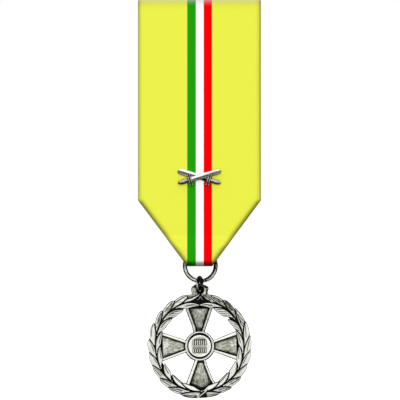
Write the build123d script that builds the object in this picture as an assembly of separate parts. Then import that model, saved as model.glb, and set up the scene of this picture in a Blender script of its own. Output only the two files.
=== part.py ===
from build123d import *
import math
import os

os.makedirs("parts", exist_ok=True)

# ---------------------------------------------------------------- dimensions
# millimetres; front of the medal faces -Y, +Z is up, +X is the viewer's right
# origin: centre of the brooch plate's rear face

# ribbon
RIBBON_W = 37.0            # woven width
RIBBON_TOP = 7.0           # height of the top fold
RIBBON_SHOULDER = -53.15   # where the straight sides end
RIBBON_BOTTOM = -73.15     # bottom fold
RIBBON_NECK = 7.68         # width at the bottom fold
PLY = 0.45                 # one thickness of cloth
FRONT_Y = -2.70            # front face of the ribbon
BACK_Y = -1.25             # rear face of the back panel
FLAP_Y = -0.80             # rear face of the turned-over end
FLAP_END = -8.0            # lower end of the turned-over end
MID_Y = (FRONT_Y + BACK_Y) / 2          # middle of the ribbon, plane of the rings
LOOP_HALF = 1.80           # half depth of the swollen loop at the bottom
LOOP_WALL = 0.50           # cloth thickness round the loop

# stiffening card
CARD_T = 0.45
CARD_MARGIN = 0.6

# suspension ring
RING_MID_R = 4.60
RING_WIRE_R = 0.635
RING_Z = -73.05
RING_GAP_DEG = 19.5        # where the ring's ends meet, from the bottom
RING_ROCK = 15.0           # how far the ring rocks in the loop, each way
RING_HINGE_Z = -70.40      # height of the line that it rocks about

# link ring
LINK_MID_R = 1.875
LINK_WIRE_R = 0.475        # half thickness of the link's wire, from its inside to its outside
LINK_WIRE_W = 0.54         # half width of the wire, which is a little flattened
LINK_PLAY = 0.08           # play between the two wires
LINK_TURN = 12.0           # the link hangs turned, its front limb towards -X

# lug
LUG_W = 5.3
LUG_T = 1.2
LUG_HOLE_R = 0.79
LUG_TOP = 1.28             # above the link's lower wire centre
LUG_PLAY = 0.12

# medal
MEDAL_Z = -97.41
CORE_IN_R = 12.20
CORE_OUT_R = 15.00
CORE_FRONT = -0.45         # from the ring plane, - is forwards
CORE_BACK = 0.95
LEAF_RISE = 0.55
LEAF_CREST = 1.00

# cross
ARM_HALF_IN = 1.80
ARM_HALF_OUT = 4.62
ARM_R_IN = 4.50
FIELD_HALF_IN = 0.85
FIELD_HALF_OUT = 3.45
FIELD_DEPTH = 0.40
CROSS_FRONT = -0.46
CROSS_BACK = 0.75
BEVEL = 0.30

# centre disc
DISC_R = 4.37
DISC_RIM_IN = 3.77
DISC_FACE_R = 3.38
DISC_T = 0.75
DISC_GROOVE = 0.40
BAR_ROWS = [(0.98, 0.60), (-1.38, 0.52)]   # height of each row's middle, half height of its bars
BAR_PITCH = 0.58
BAR_LINE_Z = -0.34
BAR_LINE_HALF = 1.95

# centre rivet
RIVET_R = 0.60
RIVET_HEAD_R = 1.25
RIVET_HEAD_T = 0.40

# swords
SWORD_TILT = 16.2
SWORD_Z = RIBBON_TOP - 53.37
SWORD_X = -0.10
SWORD_FRONT_EDGE = 0.75    # thickness at the blade's edges, and at its middle
SWORD_FRONT_CREST = 1.10
SWORD_REAR_EDGE = 0.45
SWORD_REAR_CREST = 0.80
BLADE_HALF = 0.82
BLADE_LEN = 9.35
GRIP_HALF = 0.72
GRIP_LEN = 3.30
GUARD_LEN = 3.50
GUARD_W = 0.70

# brooch
PLATE_L = 31.0
PLATE_H = 6.0
PLATE_T = 0.80
NEEDLE_R = 0.45
NEEDLE_Y = 1.75
HINGE_X = -12.6
CATCH_X = 12.4
NEEDLE_ROOT_END = -10.2
NEEDLE_STRAIGHT_END = 7.0
NEEDLE_TIP_X = 14.2
EYE_R = 1.05
EYE_T = 0.90
EAR_T = 0.55
EAR_GAP = 1.20
PIN_R = 0.38
PIN_PLAY = 0.04


# ---------------------------------------------------------------- helpers
def save(shape, name):
    shape.label = name
    export_step(shape, os.path.join("parts", name + ".step"))


def faceted(verts, faces):
    """closed solid from corner points and polygons"""
    made = [Face(Wire.make_polygon([Vector(*verts[i]) for i in f], close=True)) for f in faces]
    return Solid(Shell(made))


def prism_y(points_xz, y0, y1):
    """solid with the given X-Z outline between two depths"""
    w = Wire.make_polygon([Vector(x, y0, z) for x, z in points_xz], close=True)
    return Solid.extrude(Face(w), Vector(0, y1 - y0, 0))


def prism_x(points_yz, half):
    """solid with the given Y-Z outline, both ways from the middle"""
    w = Wire.make_polygon([Vector(-half, y, z) for y, z in points_yz], close=True)
    return Solid.extrude(Face(w), Vector(2 * half, 0, 0))


def rod(r, p0, p1):
    p0, p1 = Vector(*p0), Vector(*p1)
    d = p1 - p0
    return Solid.make_cylinder(r, d.length, Plane(origin=p0, z_dir=d))


def block(x0, x1, y0, y1, z0, z1):
    return Solid.make_box(x1 - x0, y1 - y0, z1 - z0, Plane(origin=(x0, y0, z0)))


def one(shape):
    """the single solid of a boolean's result"""
    s = shape.solids()
    return s[0] if len(s) == 1 else Compound(children=list(s))


# ---------------------------------------------------------------- ribbon
def pentagon(inset=0.0, top=0.0, bottom=0.0):
    """front outline of the ribbon, drawn in by an inset"""
    hw, hn = RIBBON_W / 2 - inset, RIBBON_NECK / 2
    slope = (RIBBON_W / 2 - hn) / (RIBBON_SHOULDER - RIBBON_BOTTOM)
    side = inset * math.sqrt(1 + slope * slope)
    zb = RIBBON_BOTTOM + bottom
    nb = hn + slope * bottom - side
    zs = RIBBON_BOTTOM + (hw - (hn - side)) / slope
    zt = RIBBON_TOP - top
    return [(-nb, zb), (nb, zb), (hw, zs), (hw, zt), (-hw, zt), (-hw, zs)]


def arc_points(cy, cz, r, a0, a1, n):
    return [
        (cy + r * math.cos(math.radians(a0 + (a1 - a0) * i / n)),
         cz + r * math.sin(math.radians(a0 + (a1 - a0) * i / n)))
        for i in range(n + 1)
    ]


half_t = (BACK_Y - FRONT_Y) / 2
top_r = (FLAP_Y - FRONT_Y) / 2
top_cy = (FLAP_Y + FRONT_Y) / 2
zb = RIBBON_BOTTOM


def swell(h):
    """half depth of the loop at a height over the bottom fold"""
    # rises from the round bottom, stays full past the ring, then thins to the flat panels
    if h < 1.8:
        k = (1.8 - h) / 1.8
        return LOOP_HALF * math.sqrt(max(0.0, 1 - k ** 2.6))
    if h < 4.9:
        return LOOP_HALF
    if h < 15.0:
        k = (h - 4.9) / 10.1
        k = k * k * (3 - 2 * k)
        return LOOP_HALF + (half_t - LOOP_HALF) * k
    return half_t


heights = [0.0, 0.05, 0.16, 0.34, 0.6, 0.95, 1.35, 1.8, 4.9, 6.0, 7.2, 8.6, 10.0, 11.4, 12.8, 15.0]
outer = [(MID_Y - swell(h), zb + h) for h in heights]
outer += arc_points(top_cy, RIBBON_TOP - top_r, top_r, 180, 0, 12)
outer += [(FLAP_Y, FLAP_END), (BACK_Y, FLAP_END)]
outer += [(MID_Y + swell(h), zb + h) for h in reversed(heights[1:])]

inner_half = half_t - PLY


def hollow(h):
    """half depth of the space inside the loop"""
    if h < 1.6:
        k = (1.6 - h) / 1.05
        return (LOOP_HALF - LOOP_WALL) * math.sqrt(max(0.0, 1 - k ** 2.6))
    if h < 5.2:
        return LOOP_HALF - LOOP_WALL
    if h < 14.0:
        k = (h - 5.2) / 8.8
        k = k * k * (3 - 2 * k)
        return (LOOP_HALF - LOOP_WALL) + (inner_half - (LOOP_HALF - LOOP_WALL)) * k
    return inner_half


inner_h = [0.55, 0.62, 0.74, 0.92, 1.2, 1.6, 5.2, 6.2, 7.4, 8.8, 10.2, 11.6, 14.0]
inner_top = RIBBON_TOP - 1.0
inner = [(MID_Y - hollow(h), zb + h) for h in inner_h]
inner += [(MID_Y - inner_half, inner_top), (MID_Y + inner_half, inner_top)]
inner += [(MID_Y + hollow(h), zb + h) for h in reversed(inner_h[1:])]

band = prism_x(outer, RIBBON_W / 2 + 1).cut(prism_x(inner, RIBBON_W / 2 + 2))
ribbon = band.intersect(prism_y(pentagon(), FRONT_Y - 3, 3))
ribbon = one(ribbon)

# slits for the device's prongs
PRONG_X = 1.9
PRONG_W = 1.2
PRONG_T = 0.35
slits = [block(s * PRONG_X - PRONG_W / 2 - 0.03, s * PRONG_X + PRONG_W / 2 + 0.03, FRONT_Y - 1, 0.5,
               SWORD_Z - PRONG_T / 2 - 0.03, SWORD_Z + PRONG_T / 2 + 0.03) for s in (-1, 1)]
for s in slits:
    ribbon = one(ribbon.cut(s))
# the cloth gives way where the ring leaves the loop and rocks in it
for rock in (-RING_ROCK, -RING_ROCK / 2, 0.0, RING_ROCK / 2, RING_ROCK):
    room = Solid.make_torus(RING_MID_R, RING_WIRE_R + 0.07, Plane(origin=(0, MID_Y, RING_Z), z_dir=(0, 1, 0)))
    room = room.rotate(Axis((0, MID_Y, RING_HINGE_Z), (1, 0, 0)), rock)
    ribbon = one(ribbon.cut(room))
save(ribbon, "ribbon")

# ---------------------------------------------------------------- stiffening card
card = prism_y(pentagon(inset=CARD_MARGIN, top=1.6, bottom=14.4), MID_Y - CARD_T / 2, MID_Y + CARD_T / 2)
for s in slits:
    card = one(card.cut(s))
save(card, "ribbon_stiffener")

# ---------------------------------------------------------------- seam stitches
stitches = []
n_st = 15
pitch = (RIBBON_W - 3.0) / n_st
for i in range(n_st):
    x = -RIBBON_W / 2 + 1.5 + pitch * (i + 0.5)
    z = FLAP_END + 1.1
    bar = rod(0.17, (x - 0.62, FLAP_Y, z - 0.12), (x + 0.62, FLAP_Y, z + 0.12))
    half = block(x - 2, x + 2, FLAP_Y, FLAP_Y + 1, z - 1, z + 1)
    stitches.append(one(bar.intersect(half)))
save(Compound(children=stitches), "seam_stitches")

# ---------------------------------------------------------------- brooch plate
plate = Solid.make_box(PLATE_L, PLATE_T, PLATE_H, Plane(origin=(-PLATE_L / 2, FLAP_Y, -PLATE_H / 2)))
plate = plate.fillet(1.2, [e for e in plate.edges().filter_by(Axis.Y)])
plate = plate.chamfer(0.15, None, [e for e in plate.faces().sort_by(Axis.Y)[-1].edges()])
HOLE_R = 0.5
HOLE_PAIR = 1.9
hole_sets = [(-6.6, 2.05), (6.6, 2.05), (-6.6, -2.05), (6.6, -2.05), (0.0, 2.05), (0.0, -2.05)]
for hx, hz in hole_sets:
    for s in (-1, 1):
        plate = one(plate.cut(rod(HOLE_R, (hx + s * HOLE_PAIR / 2, -2, hz), (hx + s * HOLE_PAIR / 2, 1, hz))))
save(plate, "brooch_plate")

# threads through the plate's holes
threads = []
TH_R = 0.22
for hx, hz in hole_sets:
    parts_ = []
    for dz in (-0.2, 0.2):
        for s in (-1, 1):
            parts_.append(rod(TH_R, (hx + s * HOLE_PAIR / 2, FLAP_Y, hz + dz), (hx + s * HOLE_PAIR / 2, 0.24, hz + dz)))
            parts_.append(Solid.make_sphere(TH_R, Plane(origin=(hx + s * HOLE_PAIR / 2, 0.24, hz + dz)),
                                            angle1=-90, angle2=90, angle3=360))
        parts_.append(rod(TH_R, (hx - HOLE_PAIR / 2, 0.24, hz + dz), (hx + HOLE_PAIR / 2, 0.24, hz + dz)))
    t = parts_[0]
    for p in parts_[1:]:
        t = t.fuse(p)
    threads += list(t.solids())
save(Compound(children=threads), "plate_threads")

# ---------------------------------------------------------------- hinge bracket
ear_in = EAR_GAP / 2
ear_out = ear_in + EAR_T
base = block(HINGE_X - 2.1, HINGE_X + 1.9, 0.0, 0.45, -2.6, 2.6)
base = base.fillet(0.6, [e for e in base.edges().filter_by(Axis.Y)])
bracket = base
for s in (-1, 1):
    z0, z1 = sorted((s * ear_in, s * ear_out))
    ear = block(HINGE_X - 1.25, HINGE_X + 1.25, 0.0, NEEDLE_Y, z0, z1)
    ear = ear.fuse(rod(1.25, (HINGE_X, NEEDLE_Y, z0), (HINGE_X, NEEDLE_Y, z1)))
    bracket = bracket.fuse(one(ear))
bracket = one(bracket).clean()
bracket = one(bracket.cut(rod(PIN_R, (HINGE_X, NEEDLE_Y, -5), (HINGE_X, NEEDLE_Y, 5))))
save(bracket, "hinge_bracket")

# ---------------------------------------------------------------- hinge rivet
rivet = rod(PIN_R, (HINGE_X, NEEDLE_Y, -ear_out), (HINGE_X, NEEDLE_Y, ear_out))
for s in (-1, 1):
    z0 = s * ear_out
    head = rod(0.68, (HINGE_X, NEEDLE_Y, z0), (HINGE_X, NEEDLE_Y, z0 + s * 0.32))
    head = head.fillet(0.2, [head.edges().sort_by(Axis.Z)[-1 if s > 0 else 0]])
    rivet = rivet.fuse(head)
save(one(rivet), "hinge_rivet")

# ---------------------------------------------------------------- needle
eye = rod(EYE_R, (HINGE_X, NEEDLE_Y, -EYE_T / 2), (HINGE_X, NEEDLE_Y, EYE_T / 2))
root = Solid.make_cone(NEEDLE_R + 0.08, NEEDLE_R, NEEDLE_ROOT_END - HINGE_X - 0.6,
                       Plane(origin=(HINGE_X + 0.6, NEEDLE_Y, 0), z_dir=(1, 0, 0)))
shank = rod(NEEDLE_R, (NEEDLE_ROOT_END, NEEDLE_Y, 0), (NEEDLE_STRAIGHT_END, NEEDLE_Y, 0)).fuse(root)
shank = one(shank)
taper = Solid.make_cone(NEEDLE_R, 0.27, CATCH_X + 1.0 - NEEDLE_STRAIGHT_END,
                        Plane(origin=(NEEDLE_STRAIGHT_END, NEEDLE_Y, 0), z_dir=(1, 0, 0)))
point = Solid.make_cone(0.27, 0.06, NEEDLE_TIP_X - CATCH_X - 1.0,
                        Plane(origin=(CATCH_X + 1.0, NEEDLE_Y, 0), z_dir=(1, 0, 0)))
needle = one(eye.fuse(shank).fuse(taper).fuse(point))
needle = one(needle.cut(rod(PIN_R + PIN_PLAY, (HINGE_X, NEEDLE_Y, -2), (HINGE_X, NEEDLE_Y, 2))))
save(needle, "brooch_needle")

# ---------------------------------------------------------------- catch
cb = block(CATCH_X - 1.5, CATCH_X + 1.5, 0.0, 0.45, -2.6, 2.6)
cb = cb.fillet(0.6, [e for e in cb.edges().filter_by(Axis.Y)])
# jaw outline in Y-Z, one side, then its mirror image
jaw = [(0.0, 1.25), (0.0, 0.75), (0.95, 0.75), (1.35, 0.58), (1.9, 0.58), (2.3, 0.42), (2.75, 0.80),
       (3.05, 0.80), (3.05, 1.02), (2.6, 1.08), (2.2, 0.95), (1.5, 1.12), (0.9, 1.25)]
catch = cb
for s in (-1, 1):
    w = Wire.make_polygon([Vector(CATCH_X - 1.1, y, s * z) for y, z in jaw], close=True)
    catch = catch.fuse(Solid.extrude(Face(w), Vector(2.2, 0, 0)))
save(one(catch), "brooch_catch")


# ---------------------------------------------------------------- swords
def sword_solid(edge_t, crest_t):
    """one sword along +X from its crossing point, lying in the X-Z plane, standing forwards"""
    y_back, y_front = FRONT_Y, FRONT_Y - crest_t - 0.12
    g0 = -2.95                      # centre of the guard from the crossing
    tip = g0 + BLADE_LEN
    b = BLADE_HALF
    # blade: flat back, ridge along the middle, rounded tip
    c = b * 0.86
    out = [(g0, -c), (tip - 2.4, -b), (tip - 1.1, -b), (tip - 0.55, -b * 0.86), (tip - 0.18, -b * 0.55), (tip, 0.0),
           (tip - 0.18, b * 0.55), (tip - 0.55, b * 0.86), (tip - 1.1, b), (tip - 2.4, b), (g0, c)]
    n = len(out)
    side_y = FRONT_Y - edge_t
    verts = [(x, y_back, z) for x, z in out] + [(x, side_y, z) for x, z in out]
    verts += [(g0, y_front + 0.12, 0.0), (tip - 0.75, y_front + 0.12, 0.0)]
    r0, r1 = 2 * n, 2 * n + 1
    faces = [list(range(n))]
    for i in range(n):
        j = (i + 1) % n
        if i == n - 1:
            continue
        faces.append([i, j, n + j, n + i])
    faces.append([0, n - 1, 2 * n - 1, r0, n])           # square end inside the guard
    faces += [[n, n + 1, r0], [n + 1, r1, r0]]
    for i in range(1, n - 2):
        faces.append([n + i, n + i + 1, r1])
    faces += [[2 * n - 2, 2 * n - 1, r0], [2 * n - 2, r0, r1]]
    blade = faceted(verts, faces)
    # guard: bar across, waisted, with fishtail ends
    hw, hl = GUARD_W / 2, GUARD_LEN / 2
    half = [(hw * 0.95, 0.0), (hw * 0.85, hl * 0.45), (hw * 1.5, hl * 0.86), (hw * 1.35, hl * 0.97), (hw * 0.35, hl * 0.86)]
    gp = [(x, z) for x, z in half] + [(-x, z) for x, z in reversed(half)]
    gp += [(-x, -z) for x, z in half[1:]] + [(x, -z) for x, z in reversed(half[1:])]
    guard = prism_y([(g0 + x, z) for x, z in gp], y_back, y_front)
    # grip: swelling oval
    gx = g0 - GUARD_W / 2 - GRIP_LEN / 2 + 0.25
    prof = []
    for i in range(15):
        t = -1 + 2 * i / 14
        prof.append((gx + t * GRIP_LEN / 2, GRIP_HALF * math.sqrt(max(0.0, 1 - abs(t) ** 2.4))))
    pts = [(x, z) for x, z in prof] + [(x, -z) for x, z in reversed(prof[1:-1])]
    grip = prism_y([(x, z) for x, z in pts], y_back, y_front + 0.08)
    return one(blade.fuse(guard).fuse(grip))


def place_sword(solid, mirrored):
    tilt = SWORD_TILT if not mirrored else 180 - SWORD_TILT
    moved = solid.rotate(Axis((0, 0, 0), (0, 1, 0)), -tilt)
    return moved.translate(Vector(SWORD_X, 0, SWORD_Z))


fs = place_sword(sword_solid(SWORD_FRONT_EDGE, SWORD_FRONT_CREST), False)
rs = place_sword(sword_solid(SWORD_REAR_EDGE, SWORD_REAR_CREST), True)
mid_y = FRONT_Y - 0.25
front_half = block(-20, 20, FRONT_Y - 3, mid_y, SWORD_Z - 10, SWORD_Z + 10)
back_half = block(-20, 20, mid_y, FRONT_Y + 1, SWORD_Z - 10, SWORD_Z + 10)
lap = one(fs.intersect(rs))
near_f = one(lap.intersect(front_half))
near_b = one(lap.intersect(back_half))
front_sword = one(fs.cut(near_b))
rear_sword = one(rs.cut(near_f))
# the rear blade is relieved where the front blade crosses over it
save(front_sword, "front_sword")
save(rear_sword, "rear_sword")

# prongs behind the swords
prongs = []
for s in (-1, 1):
    x0, x1 = s * PRONG_X - PRONG_W / 2, s * PRONG_X + PRONG_W / 2
    stem = block(x0, x1, FRONT_Y, BACK_Y, SWORD_Z - PRONG_T / 2, SWORD_Z + PRONG_T / 2)
    foot = block(x0, x1, BACK_Y, BACK_Y + PRONG_T, SWORD_Z - PRONG_T / 2, SWORD_Z + 3.0)
    p = one(stem.fuse(foot)).clean()
    tip_e = [e for e in p.edges().filter_by(Axis.Y) if e.center().Z > SWORD_Z + 2.9]
    p = p.fillet(0.45, tip_e)
    prongs.append(p)
save(Compound(children=prongs), "device_prongs")

# ---------------------------------------------------------------- suspension ring
ring = Solid.make_torus(RING_MID_R, RING_WIRE_R, Plane(origin=(0, MID_Y, RING_Z), z_dir=(0, 1, 0)))
a = math.radians(RING_GAP_DEG)
slit = Solid.make_box(0.10, 3, 3, Plane(origin=(-0.05, -1.5, -RING_MID_R - 1.5)))
slit = slit.rotate(Axis((0, 0, 0), (0, 1, 0)), -RING_GAP_DEG).translate(Vector(0, MID_Y, RING_Z))
ring = one(ring.cut(slit))
save(ring, "suspension_ring")

# ---------------------------------------------------------------- link ring
RING_LOW_Z = RING_Z - RING_MID_R
LINK_Z = RING_LOW_Z + RING_WIRE_R + LINK_PLAY - (LINK_MID_R - LINK_WIRE_R)
LINK_LOW_Z = LINK_Z - LINK_MID_R
section = Wire([Edge.make_ellipse(LINK_WIRE_W, LINK_WIRE_R, Plane(origin=(0, MID_Y, LINK_Z + LINK_MID_R), x_dir=(1, 0, 0), z_dir=(0, 1, 0)))])
link = Solid.revolve(Face(section), 360, Axis((0, MID_Y, LINK_Z), (1, 0, 0)))
lslit = Solid.make_box(3, 3, 0.08, Plane(origin=(-1.5, LINK_MID_R - 1.5, -0.04)))
lslit = lslit.rotate(Axis((0, 0, 0), (1, 0, 0)), 12).translate(Vector(0, MID_Y, LINK_Z))
link = one(link.cut(lslit))
link = link.rotate(Axis((0, MID_Y, LINK_Z), (0, 0, 1)), -LINK_TURN)
save(link, "link_ring")

# ---------------------------------------------------------------- lug
lug_pts = []
zc = LINK_LOW_Z
rc = 1.50
cx = LUG_W / 2 - rc
cz = LUG_TOP - rc
for i in range(9):
    t = math.radians(90 * i / 8)
    lug_pts.append((cx + rc * math.cos(t), zc + cz + rc * math.sin(t)))
lug_pts += [(-x, z) for x, z in reversed(lug_pts)]
LUG_FOOT = MEDAL_Z + CORE_OUT_R - 0.8
lug_pts += [(-LUG_W / 2 - 0.15, LUG_FOOT), (LUG_W / 2 + 0.15, LUG_FOOT)]
lug = prism_y(lug_pts, MID_Y - LUG_T / 2, MID_Y + LUG_T / 2)
hole_z = zc + LINK_WIRE_R + LUG_PLAY - LUG_HOLE_R
hole = rod(LUG_HOLE_R, (0, MID_Y - 3, hole_z), (0, MID_Y + 3, hole_z))
lug = one(lug.cut(hole))
rims = [e for e in lug.edges().filter_by(GeomType.CIRCLE) if abs(e.radius - LUG_HOLE_R) < 1e-3]
lug = lug.fillet(0.34, rims)

# ---------------------------------------------------------------- laurel wreath
OUTER_L = [(0, 21), (16, 36), (30, 50), (42, 67), (61, 82), (77, 99), (94, 115), (112, 133), (128, 150), (145, 165), (160, 178)]
OUTER_R = [(5, 21), (20, 36.5), (36, 51), (50, 67), (60, 82), (74, 99), (92, 119), (113, 137), (130, 153), (147, 167), (160, 178)]
INNER_L = [(0, 25), (18, 45), (40, 66), (62, 89), (83, 112), (107, 134), (126, 157), (150, 177)]
INNER_R = [(2, 28), (20, 48), (41, 64), (62, 89), (84, 113), (106, 134), (137, 160), (154, 180)]
STATIONS = [0.0, 0.14, 0.34, 0.56, 0.76, 0.90, 1.0]
WIDTHS = [0.34, 0.74, 0.98, 1.0, 0.80, 0.46, 0.0]


def polar(side, deg, r, y):
    t = math.radians(deg)
    return (side * r * math.sin(t), MID_Y + y, MEDAL_Z - r * math.cos(t))


def leaf(side, a0, a1, r0, r1, half, lift):
    """one laurel leaf bent along the wreath, with a crest line along its middle"""
    y_base = CORE_BACK - 0.5
    y_edge = CORE_FRONT - LEAF_RISE * 0.55 - lift
    y_crest = CORE_FRONT - LEAF_CREST - lift
    lo, hi, crest = [], [], []
    for s, w in zip(STATIONS, WIDTHS):
        a = a0 + (a1 - a0) * s
        r = r0 + (r1 - r0) * s ** 1.2
        lo.append((a, r - half * w))
        hi.append((a, r + half * w))
        c = y_crest if 0 < s < 1 else y_edge - 0.15
        crest.append((a, r, c))
    ring2d = lo + list(reversed(hi[:-1]))           # closed outline, the tip once
    n = len(ring2d)
    verts = [polar(side, a, r, y_base) for a, r in ring2d] + [polar(side, a, r, y_edge) for a, r in ring2d]
    c0 = len(verts)
    verts += [polar(side, a, r, y) for a, r, y in crest[:-1]]
    k = len(STATIONS)
    faces = [list(range(n))]
    for i in range(n):
        j = (i + 1) % n
        faces.append([i, j, n + j])
        faces.append([i, n + j, n + i])
    # roof: low side and high side, from base to tip
    for i in range(k - 1):
        lo_i, lo_j = n + i, n + i + 1
        ci = c0 + i
        hi_i = n + (n - 1 - i)
        hi_j = n + (n - 1 - (i + 1)) if i + 1 < k - 1 else n + k - 1
        if i + 1 < k - 1:
            cj = c0 + i + 1
            faces += [[lo_i, lo_j, cj], [lo_i, cj, ci], [hi_i, ci, cj], [hi_i, cj, hi_j]]
        else:
            faces += [[lo_i, lo_j, ci], [hi_i, ci, lo_j]]
    faces.append([n, c0, n + n - 1])                # blunt base end
    return faceted(verts, faces)


core = rod(CORE_OUT_R, (0, MID_Y + CORE_FRONT, MEDAL_Z), (0, MID_Y + CORE_BACK, MEDAL_Z))
core = one(core.cut(rod(CORE_IN_R, (0, MID_Y - 3, MEDAL_Z), (0, MID_Y + 3, MEDAL_Z))))
leaves = []
for side, rows in ((-1, OUTER_L), (1, OUTER_R)):
    for i, (a0, a1) in enumerate(rows):
        last = i == len(rows) - 1
        r0, r1 = (14.05, 15.45) if last else (14.15, 15.05)
        leaves.append(leaf(side, max(a0, 1.5), 179.3 if last else a1, r0, r1, 0.86, 0.06 * (i % 2)))
for side, rows in ((-1, INNER_L), (1, INNER_R)):
    for i, (a0, a1) in enumerate(rows):
        leaves.append(leaf(side, max(a0, 2.5), min(a1, 178.8), 13.20, 12.60, 0.80, 0.03 + 0.06 * (i % 2)))
if __name__ == "__main__":
    bad = [i for i, l in enumerate(leaves) if not l.is_valid or l.volume <= 0]
    print("leaves", len(leaves), "bad", bad)
wreath = core.fuse(lug)
wreath = one(wreath)
for l in leaves:
    wreath = one(wreath.fuse(l))
# the leaves overhang the cross only in front of it
wreath = one(wreath.cut(rod(CORE_IN_R, (0, MID_Y + CROSS_FRONT - 0.01, MEDAL_Z), (0, MID_Y + 3, MEDAL_Z))))
print("wreath", wreath.is_valid, len(wreath.solids()), round(wreath.volume, 2))
save(wreath, "laurel_wreath")


# ---------------------------------------------------------------- cross pattee
def arm_half(r, a, b):
    return a + (b - a) * (r - ARM_R_IN) / (CORE_IN_R - ARM_R_IN)


cross = rod(ARM_R_IN + 0.12, (0, MID_Y + CROSS_FRONT, MEDAL_Z), (0, MID_Y + CROSS_BACK, MEDAL_Z))
cut_r = CORE_IN_R + 0.6
limit = rod(CORE_IN_R, (0, MID_Y - 4, MEDAL_Z), (0, MID_Y + 4, MEDAL_Z))
arm_pts = [(arm_half(1.0, ARM_HALF_IN, ARM_HALF_OUT), 1.0), (arm_half(cut_r, ARM_HALF_IN, ARM_HALF_OUT), cut_r)]
for k in range(4):
    pts = [(arm_pts[0][0], arm_pts[0][1]), (arm_pts[1][0], arm_pts[1][1]), (-arm_pts[1][0], arm_pts[1][1]), (-arm_pts[0][0], arm_pts[0][1])]
    arm = prism_y([(x, MEDAL_Z + z) for x, z in pts], MID_Y + CROSS_FRONT, MID_Y + CROSS_BACK)
    long_e = [e for e in arm.faces().sort_by(Axis.Y)[0].edges() if abs((e @ 0).Z - (e @ 1).Z) > 1]
    arm = arm.chamfer(BEVEL, None, long_e)
    f0, f1 = 3.6, 13.4
    fp = [(arm_half(f0, FIELD_HALF_IN, FIELD_HALF_OUT), f0), (arm_half(f1, FIELD_HALF_IN, FIELD_HALF_OUT), f1)]
    y0 = MID_Y + CROSS_FRONT
    w = BEVEL
    tops = [(fp[0][0], f0), (fp[1][0], f1), (-fp[1][0], f1), (-fp[0][0], f0)]
    bots = [(fp[0][0] - w * 0.8, f0), (fp[1][0] - w * 0.8, f1), (-fp[1][0] + w * 0.8, f1), (-fp[0][0] + w * 0.8, f0)]
    v = [(x, y0 - 0.001, MEDAL_Z + z) for x, z in tops] + [(x, y0 + FIELD_DEPTH, MEDAL_Z + z) for x, z in bots]
    pocket = faceted(v, [[0, 1, 2, 3], [7, 6, 5, 4], [0, 4, 5, 1], [1, 5, 6, 2], [2, 6, 7, 3], [3, 7, 4, 0]])
    arm = one(arm.cut(pocket))
    arm = one(arm.intersect(limit))
    arm = arm.rotate(Axis((0, 0, MEDAL_Z), (0, 1, 0)), 90 * k)
    cross = one(cross.fuse(arm))
cross = one(cross.cut(rod(RIVET_R, (0, MID_Y - 4, MEDAL_Z), (0, MID_Y + 4, MEDAL_Z))))
print("cross", cross.is_valid, len(cross.solids()), round(cross.volume, 2))
save(cross, "cross_pattee")

# ---------------------------------------------------------------- centre disc
dy0 = MID_Y + CROSS_FRONT
disc = rod(DISC_R, (0, dy0, MEDAL_Z), (0, dy0 - DISC_T, MEDAL_Z))
disc = disc.fillet(0.22, [e for e in disc.faces().sort_by(Axis.Y)[0].edges()])
groove = rod(DISC_RIM_IN, (0, dy0 - DISC_T + DISC_GROOVE, MEDAL_Z), (0, dy0 - DISC_T - 1, MEDAL_Z))
disc = one(disc.cut(groove))
face_y = dy0 - DISC_T + 0.14
boss = rod(DISC_FACE_R, (0, dy0 - 0.2, MEDAL_Z), (0, face_y, MEDAL_Z))
disc = one(disc.fuse(boss))
# two rows of plain raised bars, with a thin line between them
for zz, hh in BAR_ROWS:
    for i in range(7):
        x = (i - 3) * BAR_PITCH
        disc = one(disc.fuse(block(x - 0.15, x + 0.15, face_y - 0.14, face_y + 0.05, MEDAL_Z + zz - hh, MEDAL_Z + zz + hh)))
disc = one(disc.fuse(block(-BAR_LINE_HALF, BAR_LINE_HALF, face_y - 0.10, face_y + 0.05,
                           MEDAL_Z + BAR_LINE_Z - 0.08, MEDAL_Z + BAR_LINE_Z + 0.08)))
disc = one(disc.cut(rod(RIVET_R, (0, dy0 - 0.35, MEDAL_Z), (0, dy0 + 1, MEDAL_Z))))
print("disc", disc.is_valid, len(disc.solids()), round(disc.volume, 2))
save(disc, "centre_disc")

# ---------------------------------------------------------------- centre rivet
shank = rod(RIVET_R, (0, dy0 - 0.35, MEDAL_Z), (0, MID_Y + CROSS_BACK, MEDAL_Z))
head = rod(RIVET_HEAD_R, (0, MID_Y + CROSS_BACK, MEDAL_Z), (0, MID_Y + CROSS_BACK + RIVET_HEAD_T, MEDAL_Z))
head = head.fillet(0.28, [e for e in head.faces().sort_by(Axis.Y)[-1].edges()])
save(one(shank.fuse(head)), "centre_rivet")
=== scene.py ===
import math

import bpy
import numpy as np
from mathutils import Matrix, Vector


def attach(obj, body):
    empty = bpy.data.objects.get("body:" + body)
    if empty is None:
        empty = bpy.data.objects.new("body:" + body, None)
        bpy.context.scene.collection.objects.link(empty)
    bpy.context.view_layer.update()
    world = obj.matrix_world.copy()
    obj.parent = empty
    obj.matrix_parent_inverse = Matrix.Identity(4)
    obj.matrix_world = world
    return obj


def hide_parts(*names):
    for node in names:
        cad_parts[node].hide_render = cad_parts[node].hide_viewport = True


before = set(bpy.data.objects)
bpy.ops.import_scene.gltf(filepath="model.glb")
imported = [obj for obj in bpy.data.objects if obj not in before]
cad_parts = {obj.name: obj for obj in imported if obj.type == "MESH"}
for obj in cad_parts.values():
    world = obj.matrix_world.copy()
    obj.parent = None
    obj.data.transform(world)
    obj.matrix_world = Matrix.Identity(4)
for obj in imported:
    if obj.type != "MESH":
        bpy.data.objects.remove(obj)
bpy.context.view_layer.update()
MM = 0.001


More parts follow.
